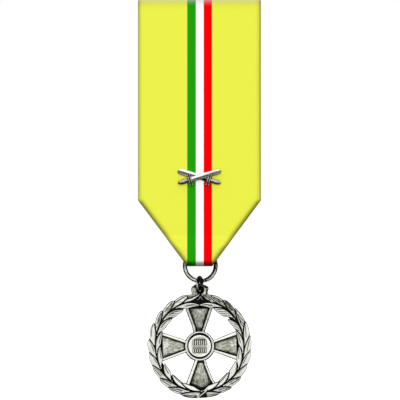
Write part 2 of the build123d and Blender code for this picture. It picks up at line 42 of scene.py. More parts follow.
# =====================================================================
# dimensions, millimetres, the same frame as the CAD
# =====================================================================
MID_Y = -1.975
FRONT_Y, BACK_Y, FLAP_Y = -2.70, -1.25, -0.80
RIBBON_W, RIBBON_TOP = 37.0, 7.0
SHOULDER_Z, BOTTOM_Z, NECK_HALF = -53.15, -73.29, 3.72
FLAP_END = -8.0
LOOP_HALF, PLY = 1.80, 0.45
HALF_T = (BACK_Y - FRONT_Y) / 2

RING_R, RING_WIRE, RING_Z, RING_X, RING_GAP = 4.64, 0.64, -73.09, 0.20, 15.5
LINK_R, LINK_WIRE, LINK_WIDE, LINK_Z, LINK_TURN = 1.80, 0.475, 0.52, -78.41, -19.0
LINK_LOW_Z = LINK_Z - LINK_R
HOLE_R = 0.79
HOLE_Z = LINK_LOW_Z + LINK_WIRE + 0.12 - HOLE_R

MEDAL_Z = -97.41
PX = 0.3015                      # millimetres to the unit the leaves are drawn in
CORE_FRONT, CORE_BACK = -0.45, 0.95
CROSS_FRONT, CROSS_BACK = -0.46, 0.75

SWORD_X, SWORD_Z, SWORD_TILT = -0.10, -46.37, 16.5


# =====================================================================
# mesh helpers
# =====================================================================
def smooth01(v):
    v = np.clip(v, 0.0, 1.0)
    return v * v * (3 - 2 * v)


def bump_fn(v, centre, width):
    return np.exp(-((v - centre) / width) ** 2)


def lattice(seed, n=64):
    return np.random.default_rng(seed).random((n, n)) * 2 - 1


def noise2(a, b, cell, seed):
    """smooth value noise of two coordinates in mm, -1 to 1"""
    t = lattice(seed)
    n = t.shape[0]
    a, b = np.asarray(a) / cell, np.asarray(b) / cell
    ia, ib = np.floor(a).astype(int), np.floor(b).astype(int)
    fa, fb = smooth01(a - ia), smooth01(b - ib)
    g = lambda i, j: t[i % n, j % n]
    return (g(ia, ib) * (1 - fa) * (1 - fb) + g(ia + 1, ib) * fa * (1 - fb)
            + g(ia, ib + 1) * (1 - fa) * fb + g(ia + 1, ib + 1) * fa * fb)


def quads(n, m, base=0, wrap_n=False, wrap_m=False):
    i, j = np.meshgrid(np.arange(n if wrap_n else n - 1), np.arange(m if wrap_m else m - 1), indexing="ij")
    i2, j2 = (i + 1) % n, (j + 1) % m
    return np.stack([i * m + j, i2 * m + j, i2 * m + j2, i * m + j2], -1).reshape(-1, 4) + base


def volume(v, f):
    """signed volume of a closed mesh of triangles and quads"""
    total = 0.0
    for k in (3, 4):
        q = np.array([x for x in f if len(x) == k])
        if len(q):
            p = v[q]
            total += np.einsum("ij,ij->i", p[:, 0], np.cross(p[:, 1], p[:, 2])).sum() / 6
            if k == 4:
                total += np.einsum("ij,ij->i", p[:, 0], np.cross(p[:, 2], p[:, 3])).sum() / 6
    return total


class Part:
    """closed shells collected into one mesh, with their per-point values"""

    def __init__(self):
        self.v, self.f, self.attr, self.uv, self.n = [], [], {}, [], 0

    def add(self, v, f, uv=None, **attr):
        v = np.asarray(v, float)
        f = [list(map(int, x)) for x in f]
        if volume(v, f) < 0:
            f = [x[::-1] for x in f]
        for k in set(self.attr) | set(attr):
            have = self.attr.setdefault(k, [np.zeros(self.n)] if self.n else [])
            have.append(np.broadcast_to(np.asarray(attr.get(k, 0.0), float).reshape(-1), (len(v),)) if k in attr
                        else np.zeros(len(v)))
        self.uv.append(np.zeros((len(v), 2)) if uv is None else np.asarray(uv, float).reshape(-1, 2))
        self.f += [[i + self.n for i in x] for x in f]
        self.v.append(v)
        self.n += len(v)

    def make(self, name, material, body, sharp=40.0):
        v = np.concatenate(self.v)
        me = bpy.data.meshes.new(name)
        me.from_pydata((v * MM).tolist(), [], self.f)
        me.polygons.foreach_set("use_smooth", np.ones(len(me.polygons), bool))
        for k, parts in self.attr.items():
            a = me.attributes.new(k, "FLOAT", "POINT")
            a.data.foreach_set("value", np.concatenate(parts).astype(np.float32))
        uv = np.concatenate(self.uv)
        if np.any(uv):
            layer = me.uv_layers.new(name="UVMap")
            idx = np.zeros(len(me.loops), np.int32)
            me.loops.foreach_get("vertex_index", idx)
            layer.data.foreach_set("uv", uv[idx].astype(np.float32).ravel())
        me.update()
        if sharp:
            me.set_sharp_from_angle(angle=math.radians(sharp))
        me.materials.append(material)
        o = bpy.data.objects.new(name, me)
        bpy.context.scene.collection.objects.link(o)
        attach(o, body)
        return o


def slab(part, top, bot, top_attr=None, bot_attr=None, uv_top=None, uv_bot=None):
    """closed shell between two grids of points"""
    n, m, _ = top.shape
    nm = n * m
    v = np.concatenate([top.reshape(-1, 3), bot.reshape(-1, 3)])
    f = quads(n, m).tolist() + (quads(n, m)[:, ::-1] + nm).tolist()
    idx = np.arange(nm).reshape(n, m)
    loop = np.concatenate([idx[0, :], idx[1:, -1], idx[-1, -2::-1], idx[-2:0:-1, 0]])
    nxt = np.roll(loop, -1)
    f += np.stack([nxt, loop, loop + nm, nxt + nm], -1).tolist()
    attr = {}
    for k in set(top_attr or {}) | set(bot_attr or {}):
        a = np.broadcast_to(np.asarray((top_attr or {}).get(k, 0.0), float), (n, m)).ravel()
        b = np.broadcast_to(np.asarray((bot_attr or {}).get(k, 0.0), float), (n, m)).ravel()
        attr[k] = np.concatenate([a, b])
    uv = None
    if uv_top is not None:
        uv = np.concatenate([uv_top.reshape(-1, 2), (uv_bot if uv_bot is not None else uv_top).reshape(-1, 2)])
    part.add(v, f, uv, **attr)


def ring_shell(part, pts, **attr):
    """closed shell of torus topology from an (n, m, 3) grid that wraps both ways"""
    n, m, _ = pts.shape
    part.add(pts.reshape(-1, 3), quads(n, m, wrap_n=True, wrap_m=True).tolist(),
             **{k: np.broadcast_to(a, (n, m)).ravel() for k, a in attr.items()})


def polar_xz(side, deg, r):
    t = np.radians(deg)
    return side * r * np.sin(t), MEDAL_Z - r * np.cos(t)


# =====================================================================
# material helpers
# =====================================================================
class Nodes:
    def __init__(self, tree):
        self.t = tree
        tree.nodes.clear()

    def new(self, kind, **props):
        n = self.t.nodes.new(kind)
        for k, v in props.items():
            setattr(n, k, v)
        return n

    def link(self, a, b):
        self.t.links.new(a, b)

    def put(self, socket, value):
        if hasattr(value, "links"):
            self.link(value, socket)
        else:
            socket.default_value = value

    def math(self, op, a, b=0.0, c=0.0, clamp=False):
        n = self.new("ShaderNodeMath", operation=op, use_clamp=clamp)
        self.put(n.inputs[0], a)
        self.put(n.inputs[1], b)
        self.put(n.inputs[2], c)
        return n.outputs[0]

    def remap(self, v, a, b, c, d, kind="LINEAR"):
        n = self.new("ShaderNodeMapRange", interpolation_type=kind, clamp=True)
        for s, x in zip(n.inputs[:5], (v, a, b, c, d)):
            self.put(s, x)
        return n.outputs[0]

    def mix(self, fac, a, b, mode="MIX"):
        n = self.new("ShaderNodeMix", data_type="RGBA", blend_type=mode, clamp_factor=True)
        self.put(n.inputs[0], fac)
        self.put(n.inputs[6], a)
        self.put(n.inputs[7], b)
        return n.outputs[2]

    def noise(self, vec, scale, detail=2.0, rough=0.5, distortion=0.0, stretch=None):
        n = self.new("ShaderNodeTexNoise")
        if stretch is not None:
            mp = self.new("ShaderNodeMapping")
            mp.inputs["Scale"].default_value = stretch
            self.link(vec, mp.inputs["Vector"])
            vec = mp.outputs[0]
        self.link(vec, n.inputs["Vector"])
        n.inputs["Scale"].default_value = scale
        n.inputs["Detail"].default_value = detail
        n.inputs["Roughness"].default_value = rough
        n.inputs["Distortion"].default_value = distortion
        return n.outputs[0]

    def ramp(self, fac, stops):
        n = self.new("ShaderNodeValToRGB")
        e = n.color_ramp.elements
        while len(e) < len(stops):
            e.new(0.5)
        for x, (p, c) in zip(e, stops):
            x.position = p
            x.color = (*c, 1.0)
        self.link(fac, n.inputs[0])
        return n.outputs[0]

    def bump(self, height, distance, strength=1.0, normal=None):
        n = self.new("ShaderNodeBump")
        n.inputs["Strength"].default_value = strength
        n.inputs["Distance"].default_value = distance
        self.link(height, n.inputs["Height"])
        if normal is not None:
            self.link(normal, n.inputs["Normal"])
        return n.outputs[0]

    def attr(self, name):
        n = self.new("ShaderNodeAttribute", attribute_name=name)
        return n.outputs["Fac"]

    def obj(self):
        return self.new("ShaderNodeTexCoord").outputs["Object"]


def material(name):
    m = bpy.data.materials.new(name)
    m.use_nodes = True
    t = Nodes(m.node_tree)
    out = t.new("ShaderNodeOutputMaterial")
    b = t.new("ShaderNodeBsdfPrincipled")
    t.link(b.outputs[0], out.inputs[0])
    return m, t, b


def patina_metal(name, stops, rough=(0.55, 0.30), grain=0.12, seed_scale=1.0, bump=0.35):
    """metal whose colour runs from its blackened recesses to its worn crests, and on some parts from painted shade to
    painted highlights, by the mesh's per-point value
    """
    m, t, b = material(name)
    co = t.obj()
    wear = t.attr("wear")
    big = t.noise(co, 420 * seed_scale, 3.0, 0.6)
    fine = t.noise(co, 3800 * seed_scale, 3.0, 0.65)
    v = t.math("ADD", wear, t.math("MULTIPLY", t.math("SUBTRACT", big, 0.5), grain * 2.2))
    v = t.math("ADD", v, t.math("MULTIPLY", t.math("SUBTRACT", fine, 0.5), grain * 2.6), clamp=True)
    t.link(t.ramp(v, stops), b.inputs["Base Color"])
    b.inputs["Metallic"].default_value = 1.0
    t.link(t.remap(v, 0.05, 0.95, rough[0], rough[1]), b.inputs["Roughness"])
    h = t.math("ADD", t.math("MULTIPLY", fine, 0.7), t.math("MULTIPLY", t.noise(co, 9000 * seed_scale, 2.0), 0.3))
    t.link(t.bump(h, 0.00006, bump), b.inputs["Normal"])
    return m


SILVER = [(0.0, (0.004, 0.004, 0.0035)), (0.18, (0.022, 0.023, 0.019)), (0.42, (0.160, 0.167, 0.135)),
          (0.68, (0.50, 0.52, 0.445)), (0.92, (0.965, 0.975, 0.92))]
m_silver = patina_metal("antique_silver_mat", SILVER)
m_bright = patina_metal("bright_silver_mat",
                        [(0.0, (0.02, 0.017, 0.015)), (0.25, (0.13, 0.115, 0.10)), (0.55, (0.50, 0.47, 0.435)),
                         (1.0, (0.93, 0.925, 0.90))], rough=(0.5, 0.27), grain=0.10, bump=0.45)
m_ring = patina_metal("ring_nickel_mat",
                      [(0.0, (0.004, 0.004, 0.0035)), (0.3, (0.045, 0.047, 0.040)), (0.6, (0.27, 0.285, 0.24)),
                       (1.0, (0.76, 0.785, 0.69))], rough=(0.5, 0.30), grain=0.12)
m_link = patina_metal("link_dark_mat",
                      [(0.0, (0.004, 0.004, 0.004)), (0.35, (0.016, 0.016, 0.015)), (0.6, (0.16, 0.165, 0.145)),
                       (1.0, (0.86, 0.88, 0.80))], rough=(0.45, 0.34), grain=0.06)


# =====================================================================
# laurel wreath
# =====================================================================
def curve_of(pairs):
    """a piecewise-smooth function of the angle from its (angle, value) pairs"""
    a, v = np.array([p[0] for p in pairs], float), np.array([p[1] for p in pairs], float)
    fine = np.linspace(a[0], a[-1], 721)
    y = np.interp(fine, a, v)
    kern = np.hanning(41)
    kern /= kern.sum()
    y = np.convolve(np.pad(y, 20, mode="edge"), kern, mode="valid")
    return lambda q: np.interp(q, fine, y)


# the dark line between the two rows, the outer and the inner contour, by side, in PX from the wreath's middle
SEAM = {-1: curve_of([(-8, 45.6), (0, 45.5), (20, 45.1), (55, 45.1), (75, 44.1), (90, 44.2), (110, 44.8), (130, 45.8), (165, 45.7), (188, 46)]),
        1: curve_of([(-8, 46.6), (0, 46.4), (10, 45.4), (20, 45.2), (40, 45.0), (60, 45.4), (75, 44.5), (90, 44.3), (105, 44.4), (120, 45.0),
                     (150, 46.0), (165, 45.6), (188, 46)])}
RIM_OUT = {-1: curve_of([(-8, 52.1), (0, 52.3), (9, 52.5), (18, 52.8), (33, 52.9), (47, 52.8), (62, 52.1), (78, 51.9), (93, 52.6), (111, 52.4),
                         (120, 52.1), (131, 52.8), (147, 53.4), (162, 53.5), (168, 52.9), (180, 52.6), (188, 52.6)]),
           1: curve_of([(-8, 51.8), (0, 51.9), (6, 52.0), (21, 52.1), (36, 52.8), (51, 52.6), (63, 52.0), (81, 52.1), (99, 52.3), (116, 52.7),
                        (135, 52.6), (150, 53.1), (165, 53.1), (171, 52.6), (180, 52.4), (188, 52.4)])}
RIM_IN = {-1: curve_of([(-8, 40.6), (0, 40.4), (20, 39.7), (27, 39.5), (38, 38.5), (58, 38.3), (90, 38.6), (105, 38.7), (120, 38.4), (127, 38.2),
                        (148, 38.2), (165, 39.7), (188, 40.4)]),
          1: curve_of([(-8, 40.8), (0, 40.7), (20, 39.4), (27, 39.5), (43, 37.8), (60, 38.2), (66, 38.0), (90, 38.6), (110, 38.6), (120, 38.6), (128, 37.9),
                       (149, 38.0), (165, 39.8), (188, 40.6)])}

# base angle, tip angle, how far the tip is drawn in, ticks, dark lines across (-1 the seam side to 1), tone, brightness
# of the rim, depth of the notch behind the leaf before it, width of the dark gap at that leaf
OUTER = {
    -1: [(-7.0, 21.3, 1.6, .28, (.20, .66), -.06, .20, .2, 0), (13, 37.0, 1.2, .30, (-.30, .30), .0, .25, 1.0, .10), (28, 51.5, 1.6, .32, (-.55, .10), .03, .22, .9, .12),
         (43, 67.5, 1.6, .22, (-.50, .15), .06, .25, 1.5, .10), (60, 83, 1.4, .18, (-.58,), .08, .30, .7, .16), (76, 98.0, 1.5, .06, (-.45,), .12, .25, 1.3, .20),
         (92, 117.2, 1.2, .04, (.45,), .14, .20, 1.8, .20), (109, 133.6, 1.8, .44, (-.50, .0), .0, .30, 2.1, .14), (126, 150.8, 2.2, .46, (-.60, .05), -.04, .36, 1.6, .10),
         (143, 166.3, 2.8, .30, (.30,), -.08, .36, 1.6, .10), (158, 180.9, .5, .26, (-.12,), -.20, .54, .5, .10)],
    1: [(-3.0, 23.6, 1.5, .22, (.10, .60), -.05, .20, .2, 0), (15, 38.2, .6, .20, (-.30, .35), .0, .25, .9, .16), (31, 53.6, 1.1, .40, (-.50, .20), .02, .20, 1.7, .10),
        (45, 69.2, 1.5, .20, (-.55,), .10, .25, 1.5, .10), (58, 85.8, 1.2, .08, (-.45,), .12, .25, 1.1, .06), (73, 102.4, .8, .05, (-.10,), .12, .28, 1.5, .06),
        (91, 118.8, .7, .04, (-.20,), .14, .30, 1.4, .14), (109, 137.4, 1.0, .56, (-.40,), -.13, .22, .8, .14), (129, 153.2, 1.6, .50, (-.55, .0, .5), -.20, .36, 1.8, .12),
        (146, 166.6, 1.9, .54, (-.50, .10), -.17, .36, 1.3, .12), (157, 178.4, .8, .0, (-.46, .06), -.26, .44, .4, .12)]}
INNER = {
    -1: [(-3.6, 26.0, 1.2, .10, (), .12, .10, 1.0, 0), (15, 44.8, 1.2, .20, (.45,), .08, .22, 1.0, .08), (38, 64.4, 1.2, .25, (.10,), .06, .18, 1.2, .08),
         (60, 89.6, 1.1, .05, (.35,), .12, .12, 1.0, .10), (81, 112.6, 1.1, .22, (.30,), .12, .20, 1.0, .10), (104, 135.4, 1.2, .38, (-.30,), .05, .15, 1.2, .12),
         (123, 156.6, 1.2, .82, (-.45,), .03, .30, 1.2, .12), (148, 180.0, 1.2, .10, (.0,), -.14, .26, 1.0, .16)],
    1: [(1.5, 28.8, 1.2, .10, (), .14, .10, 1.0, 0), (17, 48.4, 1.4, .35, (.40,), .08, .22, 1.0, .10), (38, 68.0, 1.4, .30, (), .08, .15, 1.4, .10),
        (59, 90.0, 1.1, .05, (.30,), .12, .15, 1.0, .08), (81, 113.8, 1.2, .10, (.20,), .10, .20, 1.0, .14), (103, 134.0, 1.4, .72, (), .0, .18, 1.2, .12),
        (128, 160.4, 1.4, .90, (), .02, .25, 1.6, .14), (151, 180.3, 1.2, .10, (.0,), -.14, .26, 1.0, .16)]}


def leaf_edges(side, row, leaf, s):
    """the leaf's two edges at the share s of its length: seam side, open side"""
    a0, a1, draw, notch = leaf[0], leaf[1], leaf[2], leaf[7]
    a = a0 + (a1 - a0) * s
    seam = SEAM[side](a)
    deep = 0.34 * bump_fn(a, 143, 20) * (side > 0)         # the seam is deeper there
    if row == "o":
        ro = RIM_OUT[side](a)
        rt = RIM_OUT[side](np.array(a1)) - draw
        start = seam + 0.42 + deep
        g = np.clip((s - 0.34) / 0.66, 0, 1) ** 2.1
        near = start + (rt - start) * g
        q = np.clip((s - 0.82) / 0.18, 0, 1)
        far = ro - notch * (1 - smooth01((s - 0.18) / 0.60)) - 2.2 * (1 - smooth01((s + 0.06) / 0.30)) - (ro - rt) * (1 - np.sqrt(np.clip(1 - q ** 2, 0, 1)))
        far = np.maximum(far, near + 0.01)
        near = np.where(s > 0.999, far, near)
    else:
        ri = RIM_IN[side](a)
        rt = RIM_IN[side](np.array(a1)) + draw
        start = seam - 0.42 - deep
        g = np.clip((s - 0.36) / 0.64, 0, 1) ** 1.8
        near = start + (rt - start) * g
        q = np.clip((s - 0.80) / 0.20, 0, 1)
        far = ri + (start - 0.9 - ri) * (1 - smooth01((s + 0.0) / 0.46)) + (rt - ri) * (1 - np.sqrt(np.clip(1 - q ** 2, 0, 1)))
        far = np.minimum(far, near - 0.01)
    return a, near, far


def outline(side, row, leaf):
    s = np.linspace(0.06, 1, 140)
    a, near, far = leaf_edges(side, row, leaf, s)
    xa, za = polar_xz(side, a, near * PX)
    xb, zb = polar_xz(side, a, far * PX)
    return np.stack([np.concatenate([xa, xb[::-1]]), np.concatenate([za, zb[::-1]])], -1)


def dist_to(x, z, pts):
    out = np.full(x.shape, 9.0)
    for i in range(0, len(pts), 70):
        p = pts[i:i + 70]
        out = np.minimum(out, np.sqrt((x[..., None] - p[:, 0]) ** 2 + (z[..., None] - p[:, 1]) ** 2).min(-1))
    return out


def add_leaf(part, side, row, k, leaf, before, ns=76, nt=37):
    a0, a1, draw, ticks, lines, tone, glow, notch, gap = leaf
    s = np.linspace(0.0, 1.0, ns) ** 0.80
    s[-1] = 1.0
    t = np.sin(np.linspace(-1, 1, nt) * math.pi / 2) * 0.35 + np.linspace(-1, 1, nt) * 0.65
    a, near, far = leaf_edges(side, row, leaf, s)
    S, T = np.meshgrid(s, t, indexing="ij")
    rad = (near[:, None] * (1 - T) / 2 + far[:, None] * (1 + T) / 2) * PX
    A = np.broadcast_to(a[:, None], T.shape)
    X, Z = polar_xz(side, A, rad)
    own = outline(side, row, leaf)
    d_edge = dist_to(X, Z, own)
    d_edge = np.where((T > -0.999) & (T < 0.999), d_edge, 0.0)
    d_near = dist_to(X, Z, own[:140])
    length = math.radians(a1 - a0) * 46 * PX
    wide = np.abs(far - near)[:, None] * PX * np.ones_like(T)
    room = smooth01((wide - 0.35) / 0.5)
    # the dark lines cut along the leaf
    cut = np.zeros_like(T)
    for line in lines:
        lo = 0.30 if row == "o" else 0.34
        cut = np.maximum(cut, bump_fn((T - line) * wide / 2, 0.0, 0.105 + 0.03 * (row == "o" and k == 10)) * smooth01((S - lo) / 0.12) * smooth01((0.95 - S) / 0.08))
    cut = cut * room
    top_pair = row == "o" and k == 10
    rim = bump_fn(d_near, 0.17 if top_pair else 0.26, 0.13) * smooth01((S - 0.15) / 0.2)
    rim_far = bump_fn(d_edge, 0.28, 0.10)
    # fine veins that run on towards the tip at a low angle to the leaf
    va = math.radians(17 if row == "o" else 24)
    ph = 2 * np.pi * ((S * length * math.sin(va) + (1 if row == "o" else -1) * T * wide / 2 * math.cos(va)) / 0.56 + 0.13 * k)
    tk = (0.5 + 0.5 * np.sin(ph)) ** 1.7 * smooth01((d_edge - 0.24) / 0.10) * ticks
    rise = 0.08 + 0.56 * smooth01(S / 0.85)
    crown = 0.05 * (1 - T ** 2)
    edge = -0.34 * (1 - smooth01(d_edge / 0.11)) ** 1.6
    h = rise + crown + 0.055 * rim + 0.03 * rim_far - 0.10 * cut - 0.06 * tk + edge
    h += 0.008 * noise2(X, Z, 0.24, 11 + k)
    R = rad
    if row == "o":
        tilt = 0.10 * np.maximum(0, R - 14.2) + 0.05 * np.maximum(0, R - 15.0)
        lift = 0.10
        if k == 10:
            # the top pair runs up into the sides of the lug
            lift = 0.36 - 0.03 * (side > 0)
            h = h - edge - 0.34 * (1 - smooth01(d_near / 0.11)) ** 1.6 * (T < 0.2)
            h = h - 0.20 * smooth01((S - 0.2) / 0.7) - 0.52 * smooth01((T + 0.1) / 1.1) * smooth01((S - 0.35) / 0.3)
    else:
        tilt = 0.08 * np.maximum(0, 12.9 - R)
        lift = 0.14
        if k == 0:
            lift = 0.18 + 0.10 * (side > 0)
    Y = MID_Y + CORE_FRONT - lift - h + tilt
    top = np.stack([X, Y, Z], -1)
    yb = MID_Y + 0.60 + 0.021 * (k % 5) + (0.01 if side > 0 else 0.0) + (0.0 if row == "o" else -0.12)
    bot = np.stack([X, np.full_like(X, yb), Z], -1)
    base = 0.96 if row == "o" else 0.97
    wear = base + tone + glow * (0.9 * rim + 0.4 * rim_far) - 0.95 * cut - 0.86 * tk + 0.02 * ticks
    wear = wear + 0.07 * noise2(X * 1.6, Z * 1.6, 0.5, 700 + k)
    wear = np.clip(wear, 0, 1)
    # the dark line round the leaf, finer half way up each side and where the tips meet
    fine_ = 1.0 if top_pair or (row == "i" and k == 7) else bump_fn(A, 82, 24)
    wear *= smooth01(((np.where(A > 168, d_near, d_edge) if top_pair else d_edge) - (0.09 - 0.05 * fine_)) / (0.16 - 0.05 * fine_))
    if top_pair:
        wear -= 0.22 * smooth01((T + 0.15) / 0.4) * (wear > 0.2)
    if before is not None:
        d_prev = dist_to(X, Z, outline(side, row, before))
        wear *= smooth01((d_prev - 0.06 - gap * (1 - 0.6 * bump_fn(A, 82, 26))) / 0.19)
    elif row == "o":
        wear *= 0.06 + 0.94 * smooth01((A - (-1.5 if side < 0 else 7.0)) / 2.6)
    else:
        wear *= smooth01((S + 0.01) / 0.03)
    slab(part, top, bot, {"wear": wear}, {"wear": 0.10})


wreath = Part()

# the band that carries the leaves
prof = [(12.26, -0.20), (12.34, -0.36), (12.55, -0.43), (13.0, -0.45), (13.55, -0.38), (14.0, -0.40), (14.5, -0.34), (14.75, -0.18),
        (14.92, 0.05), (14.98, 0.35), (14.95, 0.65), (14.80, 0.86), (14.5, 0.95), (13.6, 0.97), (12.7, 0.95),
        (12.40, 0.86), (12.26, 0.66), (12.22, 0.30)]
pr = np.array(prof)
th = np.linspace(0, 2 * np.pi, 361)[:-1]
R_, TH = np.meshgrid(pr[:, 0], th)
Y_ = MID_Y + np.broadcast_to(pr[:, 1], R_.shape)
band_wear = np.where(np.broadcast_to(pr[:, 1], R_.shape) > 0.80, 0.62, 0.06)
ring_shell(wreath, np.stack([R_ * np.sin(TH), Y_, MEDAL_Z - R_ * np.cos(TH)], -1), wear=band_wear)

for side in (-1, 1):
    for row, table in (("o", OUTER[side]), ("i", INNER[side])):
        for k, leaf in enumerate(table):
            add_leaf(wreath, side, row, k, leaf, table[k - 1] if k else None)


def bar(part, p0, p1, half, y0, y1, wear=0.7, curve=0.0, n=16, taper=(1.0, 1.0)):
    """rounded raised line between two points in the X-Z plane"""
    p0, p1 = np.array(p0, float), np.array(p1, float)
    s = np.linspace(0, 1, n)
    d = p1 - p0
    nrm = np.array([-d[1], d[0]]) / np.hypot(*d)
    c = p0 + s[:, None] * d + (curve * 4 * s * (1 - s))[:, None] * nrm
    hw = half * (taper[0] + (taper[1] - taper[0]) * s) * np.clip(np.sin(np.pi * np.clip(s, 0.02, 0.98)) ** 0.25, 0.3, 1)
    t = np.sin(np.linspace(-np.pi / 2, np.pi / 2, 9))
    X = c[:, 0, None] + nrm[0] * t * hw[:, None]
    Z = c[:, 1, None] + nrm[1] * t * hw[:, None]
    Y = y0 + (y1 - y0) * np.sqrt(np.clip(1 - t ** 2, 0, 1))[None, :] * np.ones((n, 1))
    top = np.stack([X, Y, Z], -1)
    bot = np.stack([X, np.full_like(X, MID_Y + 0.2), Z], -1)
    w = wear * (0.35 + 0.65 * np.sqrt(np.clip(1 - t ** 2, 0, 1)))[None, :] * np.ones((n, 1))
    slab(part, top, bot, {"wear": w}, {"wear": 0.05})


def at(px, py):
    return ((px - 199.65) * PX, 7 - PX * py)


# small chevron in the recess under the top leaves
for side in (-1, 1):
    bar(wreath, at(200.4 + side * 0.25, 296.0), at(200.2 + side * 3.7, 300.6), 0.23, MID_Y - 0.60, MID_Y - 1.26, 1.0, curve=-0.20 * side, taper=(1.0, 0.65))
    bar(wreath, at(200.3 + side * 0.2, 298.4), at(200.3 + side * 2.2, 301.6), 0.10, MID_Y - 0.50, MID_Y - 0.86, 0.40, curve=-0.10 * side, taper=(1.0, 0.6))
# raised lines across the top leaf on the right
for p_, q_ in (((203.6, 295.6), (212.6, 302.6)), ((206.2, 295.4), (214.8, 302.2)), ((208.8, 295.6), (216.2, 301.8))):
    bar(wreath, at(*p_), at(*q_), 0.165, MID_Y - 0.70, MID_Y - 1.42, 1.0, curve=0.03)
# crossing stems at the bottom
bar(wreath, at(208.0, 388.6), at(198.7, 396.7), 0.25, MID_Y - 1.0, MID_Y - 1.40, 1.0, curve=0.10, taper=(1.0, 0.75))
bar(wreath, at(206.9, 396.0), at(210.6, 394.9), 0.17, MID_Y - 0.75, MID_Y - 1.12, 1.0, curve=-0.05)
bar(wreath, at(194.6, 396.2), at(196.8, 396.4), 0.14, MID_Y - 0.75, MID_Y - 1.25, 0.0)

# lug: a plate with six-sided shoulders, a flared hole whose throat just clears the link
lug_th = np.linspace(0, 2 * np.pi, 181)[:-1]          # from the top, towards +X
LUG_LINE = [(0, -78.47), (0.55, -78.55), (1.0, -78.73), (1.38, -78.92), (1.94, -79.14), (2.50, -79.42), (2.74, -79.76), (2.72, -80.19), (2.42, -81.20),
            (2.50, -81.49), (2.9, -81.90), (2.9, -83.3), (-2.9, -83.3), (-2.85, -81.90), (-2.42, -81.80), (-2.33, -81.37), (-2.55, -81.01),
            (-2.58, -79.98), (-2.50, -79.76), (-1.72, -79.0), (-1.05, -78.68), (-0.55, -78.52)]


def lug_reach(a):
    """how far the lug's outline is from the hole's middle in the direction a"""
    d = np.array([math.sin(a), math.cos(a)])
    best = 9.0
    for i in range(len(LUG_LINE)):
        p = np.array(LUG_LINE[i]) - (0, HOLE_Z)
        e = np.array(LUG_LINE[(i + 1) % len(LUG_LINE)]) - (0, HOLE_Z) - p
        den = d[0] * e[1] - d[1] * e[0]
        if abs(den) < 1e-9:
            continue
        r = (p[0] * e[1] - p[1] * e[0]) / den
        u = (p[0] * d[1] - p[1] * d[0]) / den
        if -1e-6 <= u <= 1 + 1e-6 and r > 0:
            best = min(best, r)
    return best


reach = np.array([lug_reach(a) for a in lug_th])
reach = (np.roll(reach, 1) + 2 * reach + np.roll(reach, -1)) / 4
sa, ca = np.sin(lug_th), np.cos(lug_th)
edge_xz = np.stack([reach * sa, HOLE_Z + reach * ca], -1)


def ring_at(r, cx, cz):
    return np.stack([cx + r * sa, cz + r * ca], -1)


low = smooth01((0.35 - ca) / 0.7)                      # 0 towards the link, 1 at the sides and below
right = smooth01((sa - 0.1) / 0.5)
left = smooth01((-sa - 0.1) / 0.5)
lug_rows, lug_y, lug_w = [], [], []


def lug_row(xz, y, w):
    lug_rows.append(xz)
    lug_y.append(y)
    lug_w.append(np.broadcast_to(w, lug_th.shape))


mouth = ring_at(1.09, 0.22, -80.46)
for r, cx, cz, y in ((0.58, 0, LINK_LOW_Z, 0.0), (0.61, 0, LINK_LOW_Z, 0.11), (0.79, 0.04, -80.27, 0.26), (0.95, 0.13, -80.38, 0.40)):
    lug_row(ring_at(r, cx, cz), y, 0.0)
lug_row(ring_at(1.05, 0.20, -80.44), 0.50, 0.0)
for u, y, w in ((0.0, 0.53, 0 * low + 0.02), (0.05, 0.56, 0.10 * low), (0.12, 0.60, low * (0.30 + 0.35 * right)), (0.22, 0.61, low * (0.40 + 0.42 * right) + 0.05),
                (0.34, 0.60, low * (0.52 + 0.30 * right) + 0.06), (0.46, 0.56, low * (0.60 - 0.05 * right) + 0.10), (0.58, 0.53, low * (0.62 - 0.32 * right) + 0.12),
                (0.70, 0.52, low * (0.62 - 0.25 * right) + 0.13), (0.80, 0.53, low * (0.58 - 0.04 * right) + 0.13), (0.89, 0.54, low * 0.52 + 0.14),
                (0.95, 0.50, low * 0.42 + 0.10), (1.0, 0.36, low * 0.2 + 0.08)):
    lug_row(mouth * (1 - u) + edge_xz * u, y, w)
lug_row(edge_xz * 1.0, 0.0, 0.12)
lug_row(edge_xz, -0.40, 0.25)
for u, y in ((0.96, -0.55), (0.90, -0.60), (0.5, -0.60), (0.1, -0.60)):
    lug_row(mouth * (1 - u) + edge_xz * u, y, 0.55)
for r, cx, cz, y in ((1.02, 0.12, -80.40, -0.57), (0.96, 0.11, -80.37, -0.46), (0.84, 0.09, -80.29, -0.27), (0.67, 0.04, LINK_LOW_Z, -0.11)):
    lug_row(ring_at(r, cx, cz), y, 0.05)
lug_xz = np.stack(lug_rows, 1)
lug_y, lug_w = np.array(lug_y), np.stack(lug_w, 1)
lug_pts = np.stack([lug_xz[..., 0], MID_Y - np.broadcast_to(lug_y, lug_xz.shape[:2]), lug_xz[..., 1]], -1)
mottle = noise2(lug_pts[..., 0] * 2.0, lug_pts[..., 2], 0.42, 301)
